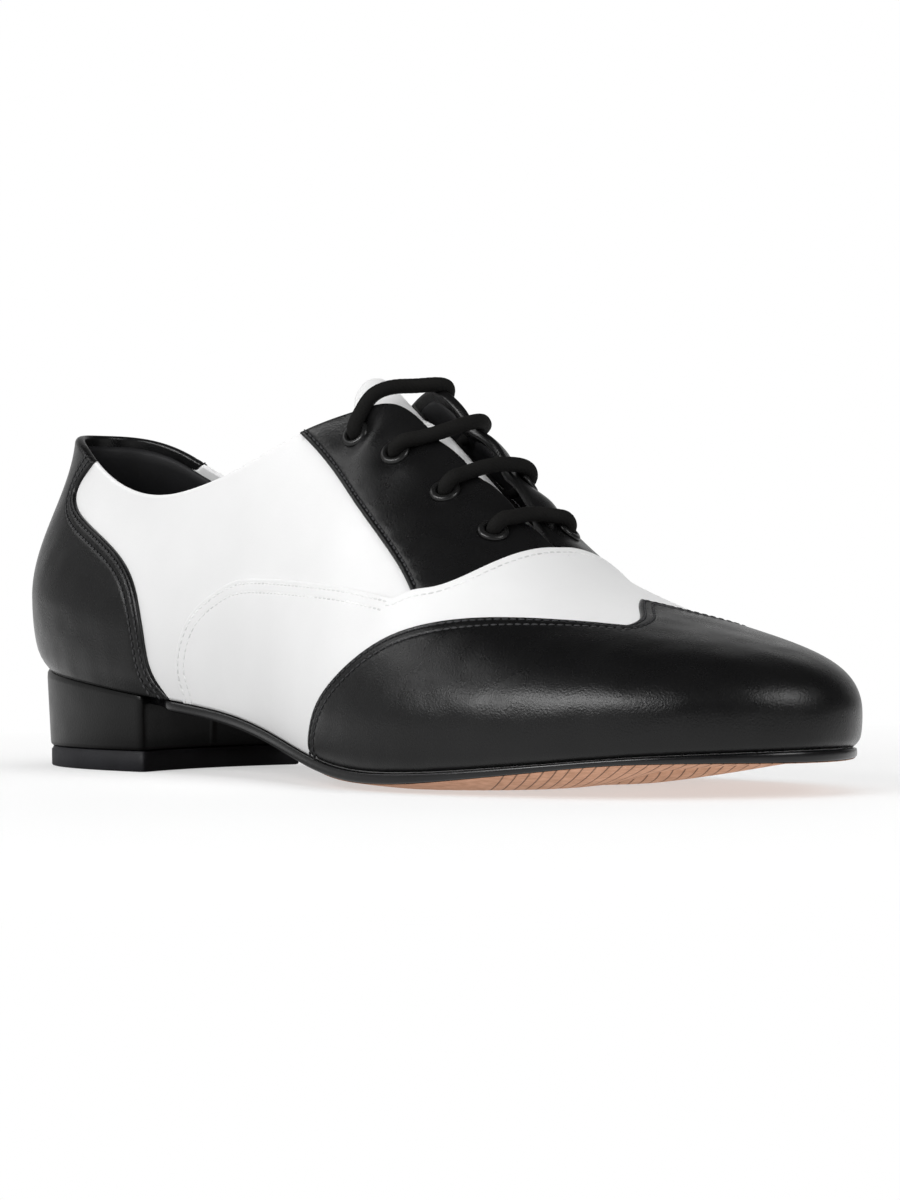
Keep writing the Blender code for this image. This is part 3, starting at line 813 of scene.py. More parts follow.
def add_edge(sheet, name, value):
    """Adds the true distance from the line where value is 0, positive inside. Returns the line's segments."""
    sheet.fields[name] = np.asarray(value, float)
    pairs = sheet.contour(name)
    segments = last_points(pairs[..., 0], pairs[..., 1])
    near = np.abs(value) < FAR
    distance = np.full(len(value), FAR)
    distance[near] = distance_to(sheet.points()[near], segments)
    sheet.fields[name] = np.sign(value) * distance
    return segments


def add_top_distance(sheet):
    """Adds the distance from the open edge of collar and throat."""
    place = np.linspace(-1, 1, 2 * AROUND + 1)
    rim = last_points(place, np.full_like(place, 2.0))
    spine_x = plan_of(place)[2][:, 0]
    open_here = spine_x < SLIT_END + THROAT_ROUND
    both = open_here[:-1] & open_here[1:]
    segments = np.stack([rim[:-1], rim[1:]], 1)[both]
    near = sheet.climb > 1.3
    distance = np.full(len(sheet.climb), FAR)
    distance[near] = distance_to(sheet.points()[near], segments)
    sheet.fields["top"] = np.minimum(distance, FAR)


def round_over(distance, radius):
    """1 well inside an edge, 0 on it, by a quarter circle."""
    share = np.clip(distance / radius, 0, 1)
    return np.sqrt(np.maximum(1 - (1 - share) ** 2, 0))


def new_mesh(name, points, faces, quads=None):
    """A mesh object from points in metres, triangles and quads."""
    mesh = bpy.data.meshes.new(name)
    groups = [np.asarray(group, np.int32) for group in (faces, quads) if group is not None and len(group)]
    loops = np.concatenate([group.ravel() for group in groups])
    sizes = np.concatenate([np.full(len(group), group.shape[1]) for group in groups])
    starts = np.concatenate([[0], np.cumsum(sizes)[:-1]])
    mesh.vertices.add(len(points))
    mesh.vertices.foreach_set("co", np.asarray(points, np.float32).ravel())
    mesh.loops.add(len(loops))
    mesh.loops.foreach_set("vertex_index", loops.astype(np.int32))
    mesh.polygons.add(len(sizes))
    mesh.polygons.foreach_set("loop_start", starts.astype(np.int32))
    mesh.update(calc_edges=True)
    mesh.validate()
    mesh.shade_smooth()
    thing = bpy.data.objects.new(name, mesh)
    bpy.context.scene.collection.objects.link(thing)
    return thing


def finish_piece(thing, material, slot, *nodes):
    thing.data.materials.append(material)
    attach(thing, "root")
    if nodes:
        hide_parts(*nodes)
    return thing


def lengths_along(points):
    """How far along a line of points each of them lies."""
    return np.concatenate([[0], np.cumsum(np.linalg.norm(np.diff(points, axis=0), axis=1))])


def open_edges(faces):
    """Directed edges that only one triangle has."""
    ends = np.concatenate([faces[:, [0, 1]], faces[:, [1, 2]], faces[:, [2, 0]]])
    count = faces.max() + 1
    forward = ends[:, 0] * count + ends[:, 1]
    backward = ends[:, 1] * count + ends[:, 0]
    return ends[~np.isin(forward, backward)]


def tube_faces(rings, sides):
    """Quads of a tube from rings of points, and the triangles that close its ends."""
    index = np.arange(rings * sides).reshape(rings, sides)
    ahead = np.roll(index, -1, 1)
    quads = np.stack([index[:-1], ahead[:-1], ahead[1:], index[1:]], -1).reshape(-1, 4)
    first, last = index[0], index[-1]
    caps = [[first[0], first[k + 1], first[k]] for k in range(1, sides - 1)]
    caps += [[last[0], last[k], last[k + 1]] for k in range(1, sides - 1)]
    return quads, np.array(caps)


def welded(points, faces, extra, within=2e-4):
    """Points that coincide made one, extra arrays averaged over them, and collapsed triangles dropped."""
    keys = np.round(points / within).astype(np.int64)
    _, first, index = np.unique(keys, axis=0, return_index=True, return_inverse=True)
    index = index.reshape(-1)
    total = np.bincount(index)
    averaged = []
    for array in extra:
        flat = array.reshape(len(array), -1)
        sums = np.stack([np.bincount(index, flat[:, i]) for i in range(flat.shape[1])], 1)
        averaged.append((sums / total[:, None]).reshape((-1,) + array.shape[1:]))
    faces = index[faces]
    whole = (faces[:, 0] != faces[:, 1]) & (faces[:, 1] != faces[:, 2]) & (faces[:, 0] != faces[:, 2])
    return points[first], faces[whole], averaged


def thick_piece(name, sheet, low, high):
    """A closed leather piece between two offsets, one number per point each."""
    count = len(sheet.place)
    low = np.broadcast_to(low, count).astype(float)
    high = np.broadcast_to(high, count).astype(float)
    points, faces, (normals, low, high) = welded(sheet.points(), sheet.faces, [sheet.normals(), low, high])
    normals = unit(normals)
    total = len(points)
    rim = open_edges(faces)
    top = points + normals * high[:, None]
    bottom = points + normals * low[:, None]
    sides = np.stack([rim[:, 0] + total, rim[:, 1] + total, rim[:, 1], rim[:, 0]], 1)
    both = np.concatenate([faces, faces[:, ::-1] + total])
    return new_mesh(name, to_frame(np.concatenate([top, bottom])), both, sides)


def node(tree, kind, inputs=None, **settings):
    """A shader node with its settings, and with values or links on its inputs."""
    made = tree.nodes.new(kind)
    for key, value in settings.items():
        setattr(made, key, value)
    for key, value in (inputs or {}).items():
        socket = made.inputs[key]
        if isinstance(value, bpy.types.NodeSocket):
            tree.links.new(value, socket)
        else:
            socket.default_value = value
    return made


def finish_of(name, **sockets):
    """A Principled material with values on its sockets, its node tree and the place that patterns follow."""
    material = bpy.data.materials.new(name)
    material.use_nodes = True
    tree = material.node_tree
    shader = tree.nodes["Principled BSDF"]
    for key, value in sockets.items():
        label = key.replace("_", " ").title().replace("Ior", "IOR")
        shader.inputs[label].default_value = value
    place = node(tree, "ShaderNodeTexCoord").outputs["Object"]
    return material, tree, shader, place


def noise(tree, place, size, detail=2.0):
    """Noise with patches of a size in metres."""
    settings = {"Vector": place, "Scale": 1 / size, "Detail": detail}
    return node(tree, "ShaderNodeTexNoise", settings).outputs["Fac"]


def spread(tree, value, low, high, start=0.0, end=1.0):
    """A value mapped to low at start and to high at end."""
    spans = {"From Min": start, "From Max": end, "To Min": low, "To Max": high}
    return node(tree, "ShaderNodeMapRange", {"Value": value, **spans}).outputs["Result"]


def calc(tree, operation, first, second=0.0):
    """Arithmetic on one or two numbers."""
    return node(tree, "ShaderNodeMath", {0: first, 1: second}, operation=operation).outputs[0]


def vary_colour(tree, shader, place, size, dark, light, detail=4.0):
    """Base colour that drifts between two tones over patches of a size in metres."""
    ramp = node(tree, "ShaderNodeValToRGB", {"Fac": noise(tree, place, size, detail)})
    for element, position, tone in zip(ramp.color_ramp.elements, (0.3, 0.7), (dark, light)):
        element.position = position
        element.color = (*tone, 1)
    tree.links.new(ramp.outputs["Color"], shader.inputs["Base Color"])


def vary_roughness(tree, shader, place, size, middle, reach):
    level = spread(tree, noise(tree, place, size, 5.0), middle - reach, middle + reach)
    tree.links.new(level, shader.inputs["Roughness"])


def add_bump(tree, shader, height, strength, depth):
    """One more layer of relief, over any that the shader has."""
    bump = node(tree, "ShaderNodeBump", {"Height": height, "Strength": strength, "Distance": depth})
    if shader.inputs["Normal"].links:
        tree.links.new(shader.inputs["Normal"].links[0].from_socket, bump.inputs["Normal"])
    tree.links.new(bump.outputs["Normal"], shader.inputs["Normal"])


def leather(name, dark, light, rough, pebble, strength, wave, **sockets):
    """Leather: fine grain, with slow waves under it."""
    material, tree, shader, place = finish_of(name, **sockets)
    vary_colour(tree, shader, place, 0.03, dark, light)
    vary_roughness(tree, shader, place, 0.006, rough, 0.06)
    add_bump(tree, shader, noise(tree, place, pebble / 0.06, 0.0), 0.5, wave)
    add_bump(tree, shader, noise(tree, place, pebble, 3.0), strength, 0.0002)
    return material


def tread_grooves(tree, place):
    """1 in the diagonal grooves of the forefoot tread and 0 between them."""
    axes = node(tree, "ShaderNodeSeparateXYZ", {0: place}).outputs
    run = calc(tree, "ADD", axes["X"], calc(tree, "MULTIPLY", axes["Y"], GROOVE_LEAN))
    start = (GROOVE_START + ORIGIN[0] + GROOVE_LEAN * ORIGIN[1]) * MM
    past = calc(tree, "SUBTRACT", run, start)
    part = calc(tree, "FRACT", calc(tree, "DIVIDE", past, GROOVE_PITCH * MM))
    away = calc(tree, "ABSOLUTE", calc(tree, "SUBTRACT", part, 0.5))
    line = spread(tree, away, 1.0, 0.0, 0.3 * GROOVE_HALF, GROOVE_HALF)
    return calc(tree, "MULTIPLY", line, calc(tree, "GREATER_THAN", past, 0.0))


def suede(name, dark, light):
    material, tree, shader, place = finish_of(name, roughness=0.96, specular_ior_level=0.1, sheen_weight=0.03)
    vary_colour(tree, shader, place, 0.0025, dark, light, 8.0)
    groove = tread_grooves(tree, place)
    colour = shader.inputs["Base Color"].links[0].from_socket
    dim = node(tree, "ShaderNodeVectorMath", {0: colour}, operation="SCALE")
    tree.links.new(spread(tree, groove, 1.0, 0.5), dim.inputs["Scale"])
    tree.links.new(dim.outputs["Vector"], shader.inputs["Base Color"])
    add_bump(tree, shader, noise(tree, place, 0.0002, 4.0), 0.6, 0.00012)
    add_bump(tree, shader, calc(tree, "SUBTRACT", 1.0, groove), 1.0, 0.0004)
    return material


def plain(name, tone, rough, fine, strength, **sockets):
    """Rubber, edge paint, metal, thread or cloth: one tone with fine even roughness."""
    material, tree, shader, place = finish_of(name, **sockets)
    vary_colour(tree, shader, place, 0.01, [0.75 * t for t in tone], [1.25 * t for t in tone])
    vary_roughness(tree, shader, place, 0.003, rough, 0.07)
    add_bump(tree, shader, noise(tree, place, fine, 3.0), strength, 0.0001)
    return material


def grey(tone):
    return (tone, tone, tone)


def make_materials():
    shine = {"specular_ior_level": 0.28}
    dull = {"specular_ior_level": 0.2}
    soft = {"specular_ior_level": 0.3}
    black = [(0.004, 0.004, 0.0042), (0.007, 0.007, 0.0072)]
    cover = [grey(0.004), grey(0.007)]
    return {
        "white": leather("white_leather", grey(0.76), grey(0.80), 0.42, 0.0006, 0.12, 0.0001),
        # Painted shade: the tongue is a slightly darker, rougher copy of the white leather, toned down for
        # the shade it lies in under the lace
        "tongue": leather("shaded_white_tongue", grey(0.72), grey(0.78), 0.5, 0.0006, 0.15, 0.0001),
        "black": leather("black_leather", *black, 0.28, 0.0005, 0.38, 0.0006, **shine),
        "cover": leather("black_heel_cover", *cover, 0.34, 0.0007, 0.25, 0.0004, **dull),
        "edge": plain("black_edge_paint", (0.004, 0.004, 0.0045), 0.25, 0.0012, 0.2, specular_ior_level=0.45),
        "tan": suede("tan_suede", (0.44, 0.225, 0.135), (0.62, 0.335, 0.215)),
        "lining": plain("dark_lining", (0.007, 0.007, 0.008), 0.62, 0.0004, 0.4, **soft),
        "rubber": plain("black_rubber", (0.013, 0.013, 0.016), 0.62, 0.0006, 0.5, **soft),
        "thread": plain("black_thread", (0.028, 0.028, 0.03), 0.55, 0.0002, 0.3, **soft),
        "white_thread": plain("white_thread", grey(0.72), 0.6, 0.0002, 0.3),
        "metal": plain("black_metal", grey(0.02), 0.28, 0.002, 0.05, metallic=0.55),
        "lace": plain("black_lace", (0.0032, 0.003, 0.0027), 0.85, 0.00025, 0.6, **dull),
    }


def spline_line(rows, count=60):
    """A smooth line through table rows of x and height."""
    spots = np.stack([column(rows, "x"), column(rows, "height")], 1)
    along = lengths_along(spots)
    steps = np.linspace(0, along[-1], count)
    return np.stack([smooth(along, spots[:, i])(steps) for i in range(2)], 1)


def inside_polygon(spots, ring):
    """Distance from a polygon's edge for points of a plane, positive inside."""
    start, end = ring, np.roll(ring, -1, 0)
    inside = np.zeros(len(spots), bool)
    for (x0, y0), (x1, y1) in zip(start, end):
        if y0 != y1:
            rows = (spots[:, 1] < y0) != (spots[:, 1] < y1)
            inside ^= rows & (spots[:, 0] < x0 + (spots[:, 1] - y0) * (x1 - x0) / (y1 - y0))
    distance = distance_to(spots, np.stack([start, end], 1))
    return np.where(inside, distance, -distance)


def vamp_value(points):
    ring = np.concatenate([spline_line(VAMP_SEAM, 90)[:-1], spline_line(VAMP_LIP), VAMP_CORNERS])
    return inside_polygon(points[:, [0, 2]], ring)


def wing_value(points):
    side = table(WING_EDGE, "x", "height")
    point = table(WING_POINT, "from_middle", "x")
    from_middle = np.abs(points[:, 1] - middle_at(points[:, 0]))
    below = np.where(points[:, 0] > WING_EDGE[0].x, side(points[:, 0]) - points[:, 2], OUTSIDE)
    ahead = points[:, 0] - point(np.minimum(from_middle, WING_POINT[-1].from_middle))
    return np.maximum(below, ahead)


def counter_value(points):
    return table(COUNTER_EDGE, "height", "x")(points[:, 2]) - points[:, 0]


def facing_value(points, vamp_distance):
    rear = table(FACING_EDGE, "height", "rear")(np.maximum(points[:, 2], FACING_EDGE[0].height))
    behind = np.where(points[:, 2] > FACING_EDGE[0].height, points[:, 0] - rear, OUTSIDE)
    return np.minimum(behind, UNDERLAP - vamp_distance)


def base_sheet():
    """The whole last with the distance from each panel's edge."""
    sheet = last_grid(AROUND, LOWER_ROWS, UPPER_ROWS)
    points = sheet.points()
    add_top_distance(sheet)
    lip = add_edge(sheet, "vamp", vamp_value(points))
    ends = lip.mean(1)
    lip = lip[(ends[:, 0] > VAMP_LIP[0].x) & (ends[:, 2] > VAMP_LIP[0].height - 1)]
    near = np.abs(sheet.fields["vamp"]) < FAR - 1
    sheet.fields["lip"] = np.full(len(points), FAR)
    sheet.fields["lip"][near] = np.minimum(distance_to(points[near], lip), FAR)
    add_edge(sheet, "wing", wing_value(points))
    add_edge(sheet, "counter", counter_value(points))
    add_edge(sheet, "facing", facing_value(points, sheet.fields["vamp"]))
    return sheet, lip


def over_facing(lip_distance):
    """How far the vamp lies off the last, to pass over the edge of the facings."""
    return FACING * (1 - ease(lip_distance, 0.3, LIP_RAMP))


def trimmed(lines, keep):
    """Lines without the points that a test turns down, broken where points go."""
    pieces = []
    for line in lines:
        good = keep(last_points(line[:, 0], line[:, 1]))
        breaks = np.flatnonzero(np.diff(good.astype(int))) + 1
        for piece, mask in zip(np.split(line, breaks), np.split(good, breaks)):
            if mask[0] and len(piece) > 1:
                pieces.append(piece)
    return pieces


def cut_at(sheet, name, levels):
    """The sheet with loops cut along levels of a field."""
    for level in levels:
        sheet = sheet.split(name, level)
    return sheet


def edge_loops(sheet, name, radius, rows):
    """Loops along a panel's edge, for its round and for the furrows of its stitch rows."""
    levels = [radius * share for share in ROUND_SHARES]
    levels += [row + shift for row in rows for shift in FURROW_LOOPS]
    return cut_at(sheet, name, sorted(levels))


def furrows(distance, rows):
    return sum(STITCH_GROOVE * np.exp(-(((distance - row) / FURROW_HALF) ** 2)) for row in rows)


def stitch_template():
    """Rings of points of a thread stitch, in its own length, width and height."""
    turns = np.arange(STITCH_SIDES) * math.tau / STITCH_SIDES
    along = np.linspace(-0.5, 0.5, STITCH_RINGS)
    girth = np.sqrt(np.maximum(1 - (2 * np.abs(along)) ** 3, 0.02)) / 2
    points = [[a, g * math.cos(t), g * math.sin(t)] for a, g in zip(along, girth) for t in turns]
    return np.array(points) * np.array([STITCH_LENGTH, STITCH_WIDTH, STITCH_WIDTH * 0.8])


def stitch_lines(sheet, name, rows):
    return [line for row in rows for line in chains(sheet.contour(name, row + 0.001))]


def make_stitches(name, lines, offset, material, slot):
    """Rows of stitches along lines of place and climb, set into their furrow."""
    template = stitch_template()
    stitches = []
    for line in lines:
        centres = last_points(line[:, 0], line[:, 1])
        normals = last_normals(line[:, 0], line[:, 1])
        along = lengths_along(centres)
        if along[-1] < 3 * STITCH_PITCH:
            continue
        steps = np.arange(STITCH_PITCH / 2, along[-1], STITCH_PITCH)

        def at(values, shift=0.0):
            spots = np.clip(steps + shift, 0, along[-1])
            return np.stack([np.interp(spots, along, values[:, i]) for i in range(3)], 1)

        up = unit(at(normals))
        middle = at(centres) + up * (offset(at(centres))[:, None] if callable(offset) else offset)
        run = unit(at(centres, STITCH_LENGTH / 2) - at(centres, -STITCH_LENGTH / 2))
        axes = np.stack([run, np.cross(up, run), up], 1)
        stitches.append(middle[:, None] + template @ axes)
    points = np.concatenate(stitches)
    starts = np.arange(len(points))[:, None, None] * len(template)
    quads, caps = tube_faces(STITCH_RINGS, STITCH_SIDES)
    quads = (quads + starts).reshape(-1, 4)
    caps = (caps + starts).reshape(-1, 3)
    thing = new_mesh(name, to_frame(points.reshape(-1, 3)), caps, quads)
    return finish_piece(thing, material, slot)


def lap_at(top):
    """How far the quarter reaches under a panel: hardly at the top edge, which the panel wraps."""
    return RIM_LAP + (UNDERLAP - RIM_LAP) * ease(top, *RIM_WRAP)


def foot_taper(sheet):
    """Share of a panel's thickness that is left where it is drawn in over the sole."""
    thin, climb = FOOT_TAPER
    return thin + (1 - thin) * ease(sheet.climb, 0, climb)


def rim_lip(top):
    """How far the wall's round top edge lies in from its two faces."""
    return ROUND * (1 - round_over(top, ROUND))


def make_quarters(base, looks):
    """White quarters and the ground under the vamp, with a rounded top line."""
    panel = np.maximum(base.fields["counter"], base.fields["facing"])
    base.fields["bare"] = lap_at(base.fields["top"]) - panel
    sheet = cut_at(base.where("bare", 0), "top", [ROUND * share for share in ROUND_SHARES])
    lip = rim_lip(sheet.fields["top"])
    thing = thick_piece("upper_quarters", sheet, -WALL + lip, -lip)
    finish_piece(thing, looks["white"], "white_leather", "upper")


def make_lining(looks):
    sheet = last_grid(AROUND // 2, LOWER_ROWS // 2, UPPER_ROWS // 2)
    add_top_distance(sheet)
    sheet = sheet.where("top", LINING_DROP)
    thick = LINING * round_over(sheet.fields["top"] - LINING_DROP, EDGE_ROUND)
    thing = thick_piece("lining", sheet, -WALL - thick, -WALL + THINNEST)
    finish_piece(thing, looks["lining"], "dark_lining")


def panel_low(distance, top):
    """Underside of a panel: on the quarter near its edge, and right through the wall further in."""
    lap = lap_at(top) + 0.1
    deep = ease((distance - lap) / lap, 0, 0.6)
    return THINNEST + deep * (rim_lip(top) - WALL - THINNEST)


def panel_high(edge, thick, radius, rows, share=1.0):
    """Outer side of a panel: rounded at its edge, with furrows for its stitches."""
    return EDGE_LEAST + (thick - EDGE_LEAST) * round_over(edge, radius) * share - furrows(edge, rows)


def make_counter(base, looks):
    sheet = edge_loops(base.where("counter", 0), "counter", EDGE_ROUND, COUNTER_STITCHES)
    sheet = cut_at(sheet, "top", COUNTER_RIM.loops)
    edge, top = sheet.fields["counter"], sheet.fields["top"]
    high = panel_high(edge, PANEL, EDGE_ROUND, COUNTER_STITCHES) * foot_taper(sheet)
    high = high - COUNTER_RIM.depth * (1 - round_over(top, COUNTER_RIM.radius))
    low = np.minimum(panel_low(edge, top), high - THINNEST)
    thing = thick_piece("counter_leather", sheet, low, high)
    finish_piece(thing, looks["black"], "black_leather", "heel_counter")
    lines = stitch_lines(sheet, "counter", COUNTER_STITCHES)
    make_stitches("counter_stitches", lines, PANEL - STITCH_SINK, looks["thread"], "black_leather")


def padding(points, seats):
    """Softness of the facings: dips at the eyelets and under the lace, and swells between the eyelets."""

    def swell(spot, reach):
        return np.exp(-((points - spot) ** 2).sum(1) / reach**2)

    relief = np.zeros(len(points))
    for side, sign in SIDES.items():
        spots = [seats[number, side][0] for number in range(1, len(LACE_PAIRS) + 1)]
        for spot in spots:
            relief -= PAD_DEPTH * swell(spot, PAD_REACH)
        for pair in LACE_PAIRS[1:]:
            relief -= LACE_PRESS * swell(throat_edge(pair.crossing, sign)[0], PRESS_REACH)
        for first, second in zip(spots, spots[1:]):
            relief += PAD_DEPTH * swell((first + second) / 2, PAD_REACH)
    return relief


def make_facings(base, seats, looks):
    both = edge_loops(base.where("facing", 0), "facing", FACING_ROUND, FACING_STITCHES)
    both = cut_at(both, "top", FACING_RIM.loops)
    for side, sign in SIDES.items():
        sheet = both.kept(sign * both.place[both.faces].mean(1) > 0)
        edge, top = sheet.fields["facing"], sheet.fields["top"]
        under = 1 - ease(sheet.fields["vamp"], 0, UNDERLAP)
        high = panel_high(edge, FACING, FACING_ROUND, FACING_STITCHES, under)
        high = high - FACING_RIM.depth * (1 - round_over(top, FACING_RIM.radius))
        soft = padding(sheet.points(), seats) * under * ease(edge, 2, 6)
        high = high + soft
        low = np.minimum(panel_low(edge, top) + np.minimum(soft, 0), high - THINNEST)
        thing = thick_piece(f"facing_leather_{side}", sheet, low, high)
        finish_piece(thing, looks["black"], "black_leather", f"facing_{side}")
        lines = stitch_lines(sheet, "facing", FACING_STITCHES)
        lines = trimmed(lines, lambda spots: vamp_value(spots) < -0.5)
        sunk = FACING - STITCH_SINK
        make_stitches(f"facing_stitches_{side}", lines, sunk, looks["thread"], "black_leather")


def make_vamp(base, lip, looks):
    """The vamp, with one row of stitches along its lip and two along its seam."""
    near, at_lip, far = VAMP_STITCHES
    sheet = edge_loops(base.where("vamp", 0), "vamp", VAMP_ROUND, VAMP_STITCHES)
    edge = sheet.fields["vamp"]
    over = over_facing(sheet.fields["lip"])
    along_lip = sheet.fields["lip"] < edge + 0.3
    furrow = np.where(along_lip, furrows(edge, (at_lip,)), furrows(edge, (near, far)))
    high = over + VAMP_LEAST + VAMP * round_over(edge, VAMP_ROUND) - VAMP_FURROW * furrow
    thing = thick_piece("vamp_leather", sheet, over + VAMP_LOW, high)
    finish_piece(thing, looks["white"], "white_leather")
    lines = []
    for row in VAMP_STITCHES:
        found = stitch_lines(sheet, "vamp", (row,))
        lines += trimmed(found, lambda spots: (distance_to(spots, lip) < row + 0.4) == (row == at_lip))
    lines = trimmed(lines, lambda spots: wing_value(spots) < -0.5)

    def raised(spots):
        return over_facing(distance_to(spots, lip)) + VAMP - VAMP_SINK

    make_stitches("vamp_stitches", lines, raised, looks["white_thread"], "white_leather")


def make_wing(base, looks):
    sheet = edge_loops(base.where("wing", 0), "wing", EDGE_ROUND, WING_STITCHES)
    edge = sheet.fields["wing"]
    high = VAMP + (PANEL + WING_EXTRA - VAMP) * round_over(edge, EDGE_ROUND) - furrows(edge, WING_STITCHES)
    high = np.maximum(high * foot_taper(sheet), WING_LEAST)
    thing = thick_piece("wing_leather", sheet, WING_LOW, high)
    finish_piece(thing, looks["black"], "black_leather", "wing_tip")
    lines = stitch_lines(sheet, "wing", WING_STITCHES)
    make_stitches("wing_stitches", lines, PANEL - WING_SINK, looks["thread"], "black_leather")


def seat_at(x, sign, inset):
    """Point and normal of the last on the section at x, a distance down from its top edge."""
    climbs = np.linspace(2, 1, SEAT_STEPS)
    places = np.full(SEAT_STEPS, float(angle_of(x)) * sign)
    along = lengths_along(last_points(places, climbs))
    spot = np.array([np.interp(inset, along, climbs)])
    return last_points(places[:1], spot)[0], last_normals(places[:1], spot)[0]


def lace_seats():
    seats = {}
    for number, pair in enumerate(LACE_PAIRS, 1):
        for side, sign in SIDES.items():
            seats[number, side] = seat_at(pair.x, sign, pair.inset if sign < 0 else pair.inner)
    return seats


def make_eyelets(seats, looks):
    """Rolled rings with a barrel that goes down into the facing."""
    profile = [(EYELET_BORE, -EYELET_BARREL)] + [(EYELET_BORE + row.out, row.up) for row in EYELET_ROLL]
    outside = EYELET_BORE + EYELET_WALL
    profile += [(EYELET_RIM, -EYELET_UNDER), (outside, -EYELET_UNDER), (outside, -EYELET_BARREL)]
    turns = np.arange(EYELET_SIDES) * math.tau / EYELET_SIDES
    ring = np.array([[r * math.cos(t), r * math.sin(t), z] for t in turns for r, z in profile])
    index = np.arange(len(ring)).reshape(EYELET_SIDES, -1)
    above = np.roll(index, -1, 1)
    quads = np.stack([above, np.roll(above, -1, 0), np.roll(index, -1, 0), index], -1).reshape(-1, 4)
    for (number, side), (point, normal) in seats.items():
        turn = np.array(Vector(normal).to_track_quat("Z", "Y").to_matrix())
        points = point + normal * (FACING - EYELET_SINK) + ring @ turn.T
        thing = new_mesh(f"eyelet_ring_{side}_{number}", to_frame(points), [], quads)
        finish_piece(thing, looks["metal"], "eyelet_metal", f"eyelet_{side}_{number}")


def throat_edge(x, sign):
    """Point and normal of the throat's edge on the section at x."""
    return seat_at(x, sign, BRINK)


def bar_half(seat, edge):
    """From inside an eyelet, out of its hole and over the facing to the throat's edge."""
    (point, up), (brink, brink_up) = seat, edge
    ahead = unit(brink - point)
    lying = FACING + LACE_RADIUS
    inside = [point - up * depth for depth in BAR_DEPTHS]
    over = [point + up * (lying + row.up) + ahead * row.ahead for row in BAR_ENDS]
    return inside + over + [brink + brink_up * (lying - LACE_PRESS)]


def bar_route(seats, number, start, end):
    """A lace bar from one eyelet to the one across. The top one stands up in a loose loop."""
    crossing = LACE_PAIRS[number - 1].crossing
    brinks = [throat_edge(crossing, SIDES[side]) for side in (start, end)]
    first, second = (bar_half(seats[number, side], brink) for side, brink in zip((start, end), brinks))
    if number == 1:
        point, far = seats[1, start][0], brinks[1][0]
        loop = [point + (far - point) * row.share + np.array([0, 0, row.up]) for row in TOP_LOOP]
        first = first[:3] + loop
        second = second[:-1] + [second[-1] + np.array([0, 0, TOP_CLEAR])]
    points = first + second[::-1]
    return points, BAR_GIRTHS + [1.0] * (len(points) - 2 * len(BAR_GIRTHS)) + BAR_GIRTHS[::-1]


def lace_line(seats):
    """The whole lace as points and girths: bars on top, runs behind the facings, ends at the top eyelets."""
    point, up = seats[1, "lateral"]
    points = [point - up * LACE_TUCK + np.array(row.shift) for row in LACE_START]
    girths = [row.girth for row in LACE_START]
    ways = (("lateral", "medial"), ("medial", "lateral"))
    for leg, number in enumerate(LACE_ORDER):
        start, end = ways[leg % 2]
        route, girth = bar_route(seats, number, start, end)
        points += route
        girths += girth
        here = seats[number, end]
        there = seats[(LACE_ORDER + (1,))[leg + 1], end]
        for share in RUN_SHARES:
            spot, inside = (one * (1 - share) + other * share for one, other in zip(here, there))
            points.append(spot - unit(inside) * RUN_TUCK)
            girths.append(RUN_GIRTH)
    points.append(point - up * END_TUCK + np.array(END_SHIFT))
    girths.append(END_GIRTH)
    return np.array(points), np.array(girths)


def carried_frames(line):
    """Two sides along a line, turned as little as possible."""
    tangents = unit(np.gradient(line, axis=0))
    side = unit(np.cross(tangents[0], [0.3, 0.2, 1.0]))
    sides = []
    for tangent in tangents:
        side = unit(side - tangent * (side @ tangent))
        sides.append(side)
    return np.array(sides), np.cross(tangents, sides)


def make_lace(seats, looks):
    """One braided cord. Its length in millimetres is returned."""
    knots, girths = lace_line(seats)
    along = lengths_along(knots)
    steps = np.arange(0, along[-1], LACE_STEP)
    line = np.stack([smooth(along, knots[:, i])(steps) for i in range(3)], 1)
    girth = LACE_RADIUS * np.interp(steps, along, girths)
    sides, ups = carried_frames(line)
    turns = np.arange(LACE_SIDES) * math.tau / LACE_SIDES
    wind = steps[:, None] * math.tau / BRAID_PITCH
    right = np.cos(BRAID_STRANDS * turns[None] - BRAID_STRANDS * wind / 2)
    left = np.cos(BRAID_STRANDS * turns[None] + BRAID_STRANDS * wind / 2)
    radius = girth[:, None] * (1 + BRAID_RELIEF * np.maximum(right, left))
    ring = np.cos(turns)[None, :, None] * sides[:, None] + np.sin(turns)[None, :, None] * ups[:, None]
    points = (line[:, None] + radius[..., None] * ring).reshape(-1, 3)
    quads, caps = tube_faces(len(steps), LACE_SIDES)
    thing = new_mesh("lace", to_frame(points), caps, quads)
    finish_piece(thing, looks["lace"], "lace_cord", *[f"lace_bar_{number}" for number in range(1, 5)])
    return lengths_along(line)[-1]


def grid_faces(rows, columns, wrap=False):
    index = np.arange(rows * columns).reshape(rows, columns)
    if wrap:
        index = np.concatenate([index, index[:, :1]], 1)
    a, b = index[:-1, :-1].ravel(), index[:-1, 1:].ravel()
    c, d = index[1:, 1:].ravel(), index[1:, :-1].ravel()
    return np.concatenate([np.stack([a, b, c], 1), np.stack([a, c, d], 1)])


def outward(points, faces):
    """Faces turned so that the closed mesh has its outside out."""
    a, b, c = (points[faces[:, i]] - points.mean(0) for i in range(3))
    return faces if (np.cross(a, b) * c).sum() > 0 else faces[:, ::-1]


def solid_piece(name, points, faces, material, slot, *nodes):
    points, faces, _ = welded(points, faces, [])
    thing = new_mesh(name, to_frame(points), outward(points, faces))
    return finish_piece(thing, material, slot, *nodes)


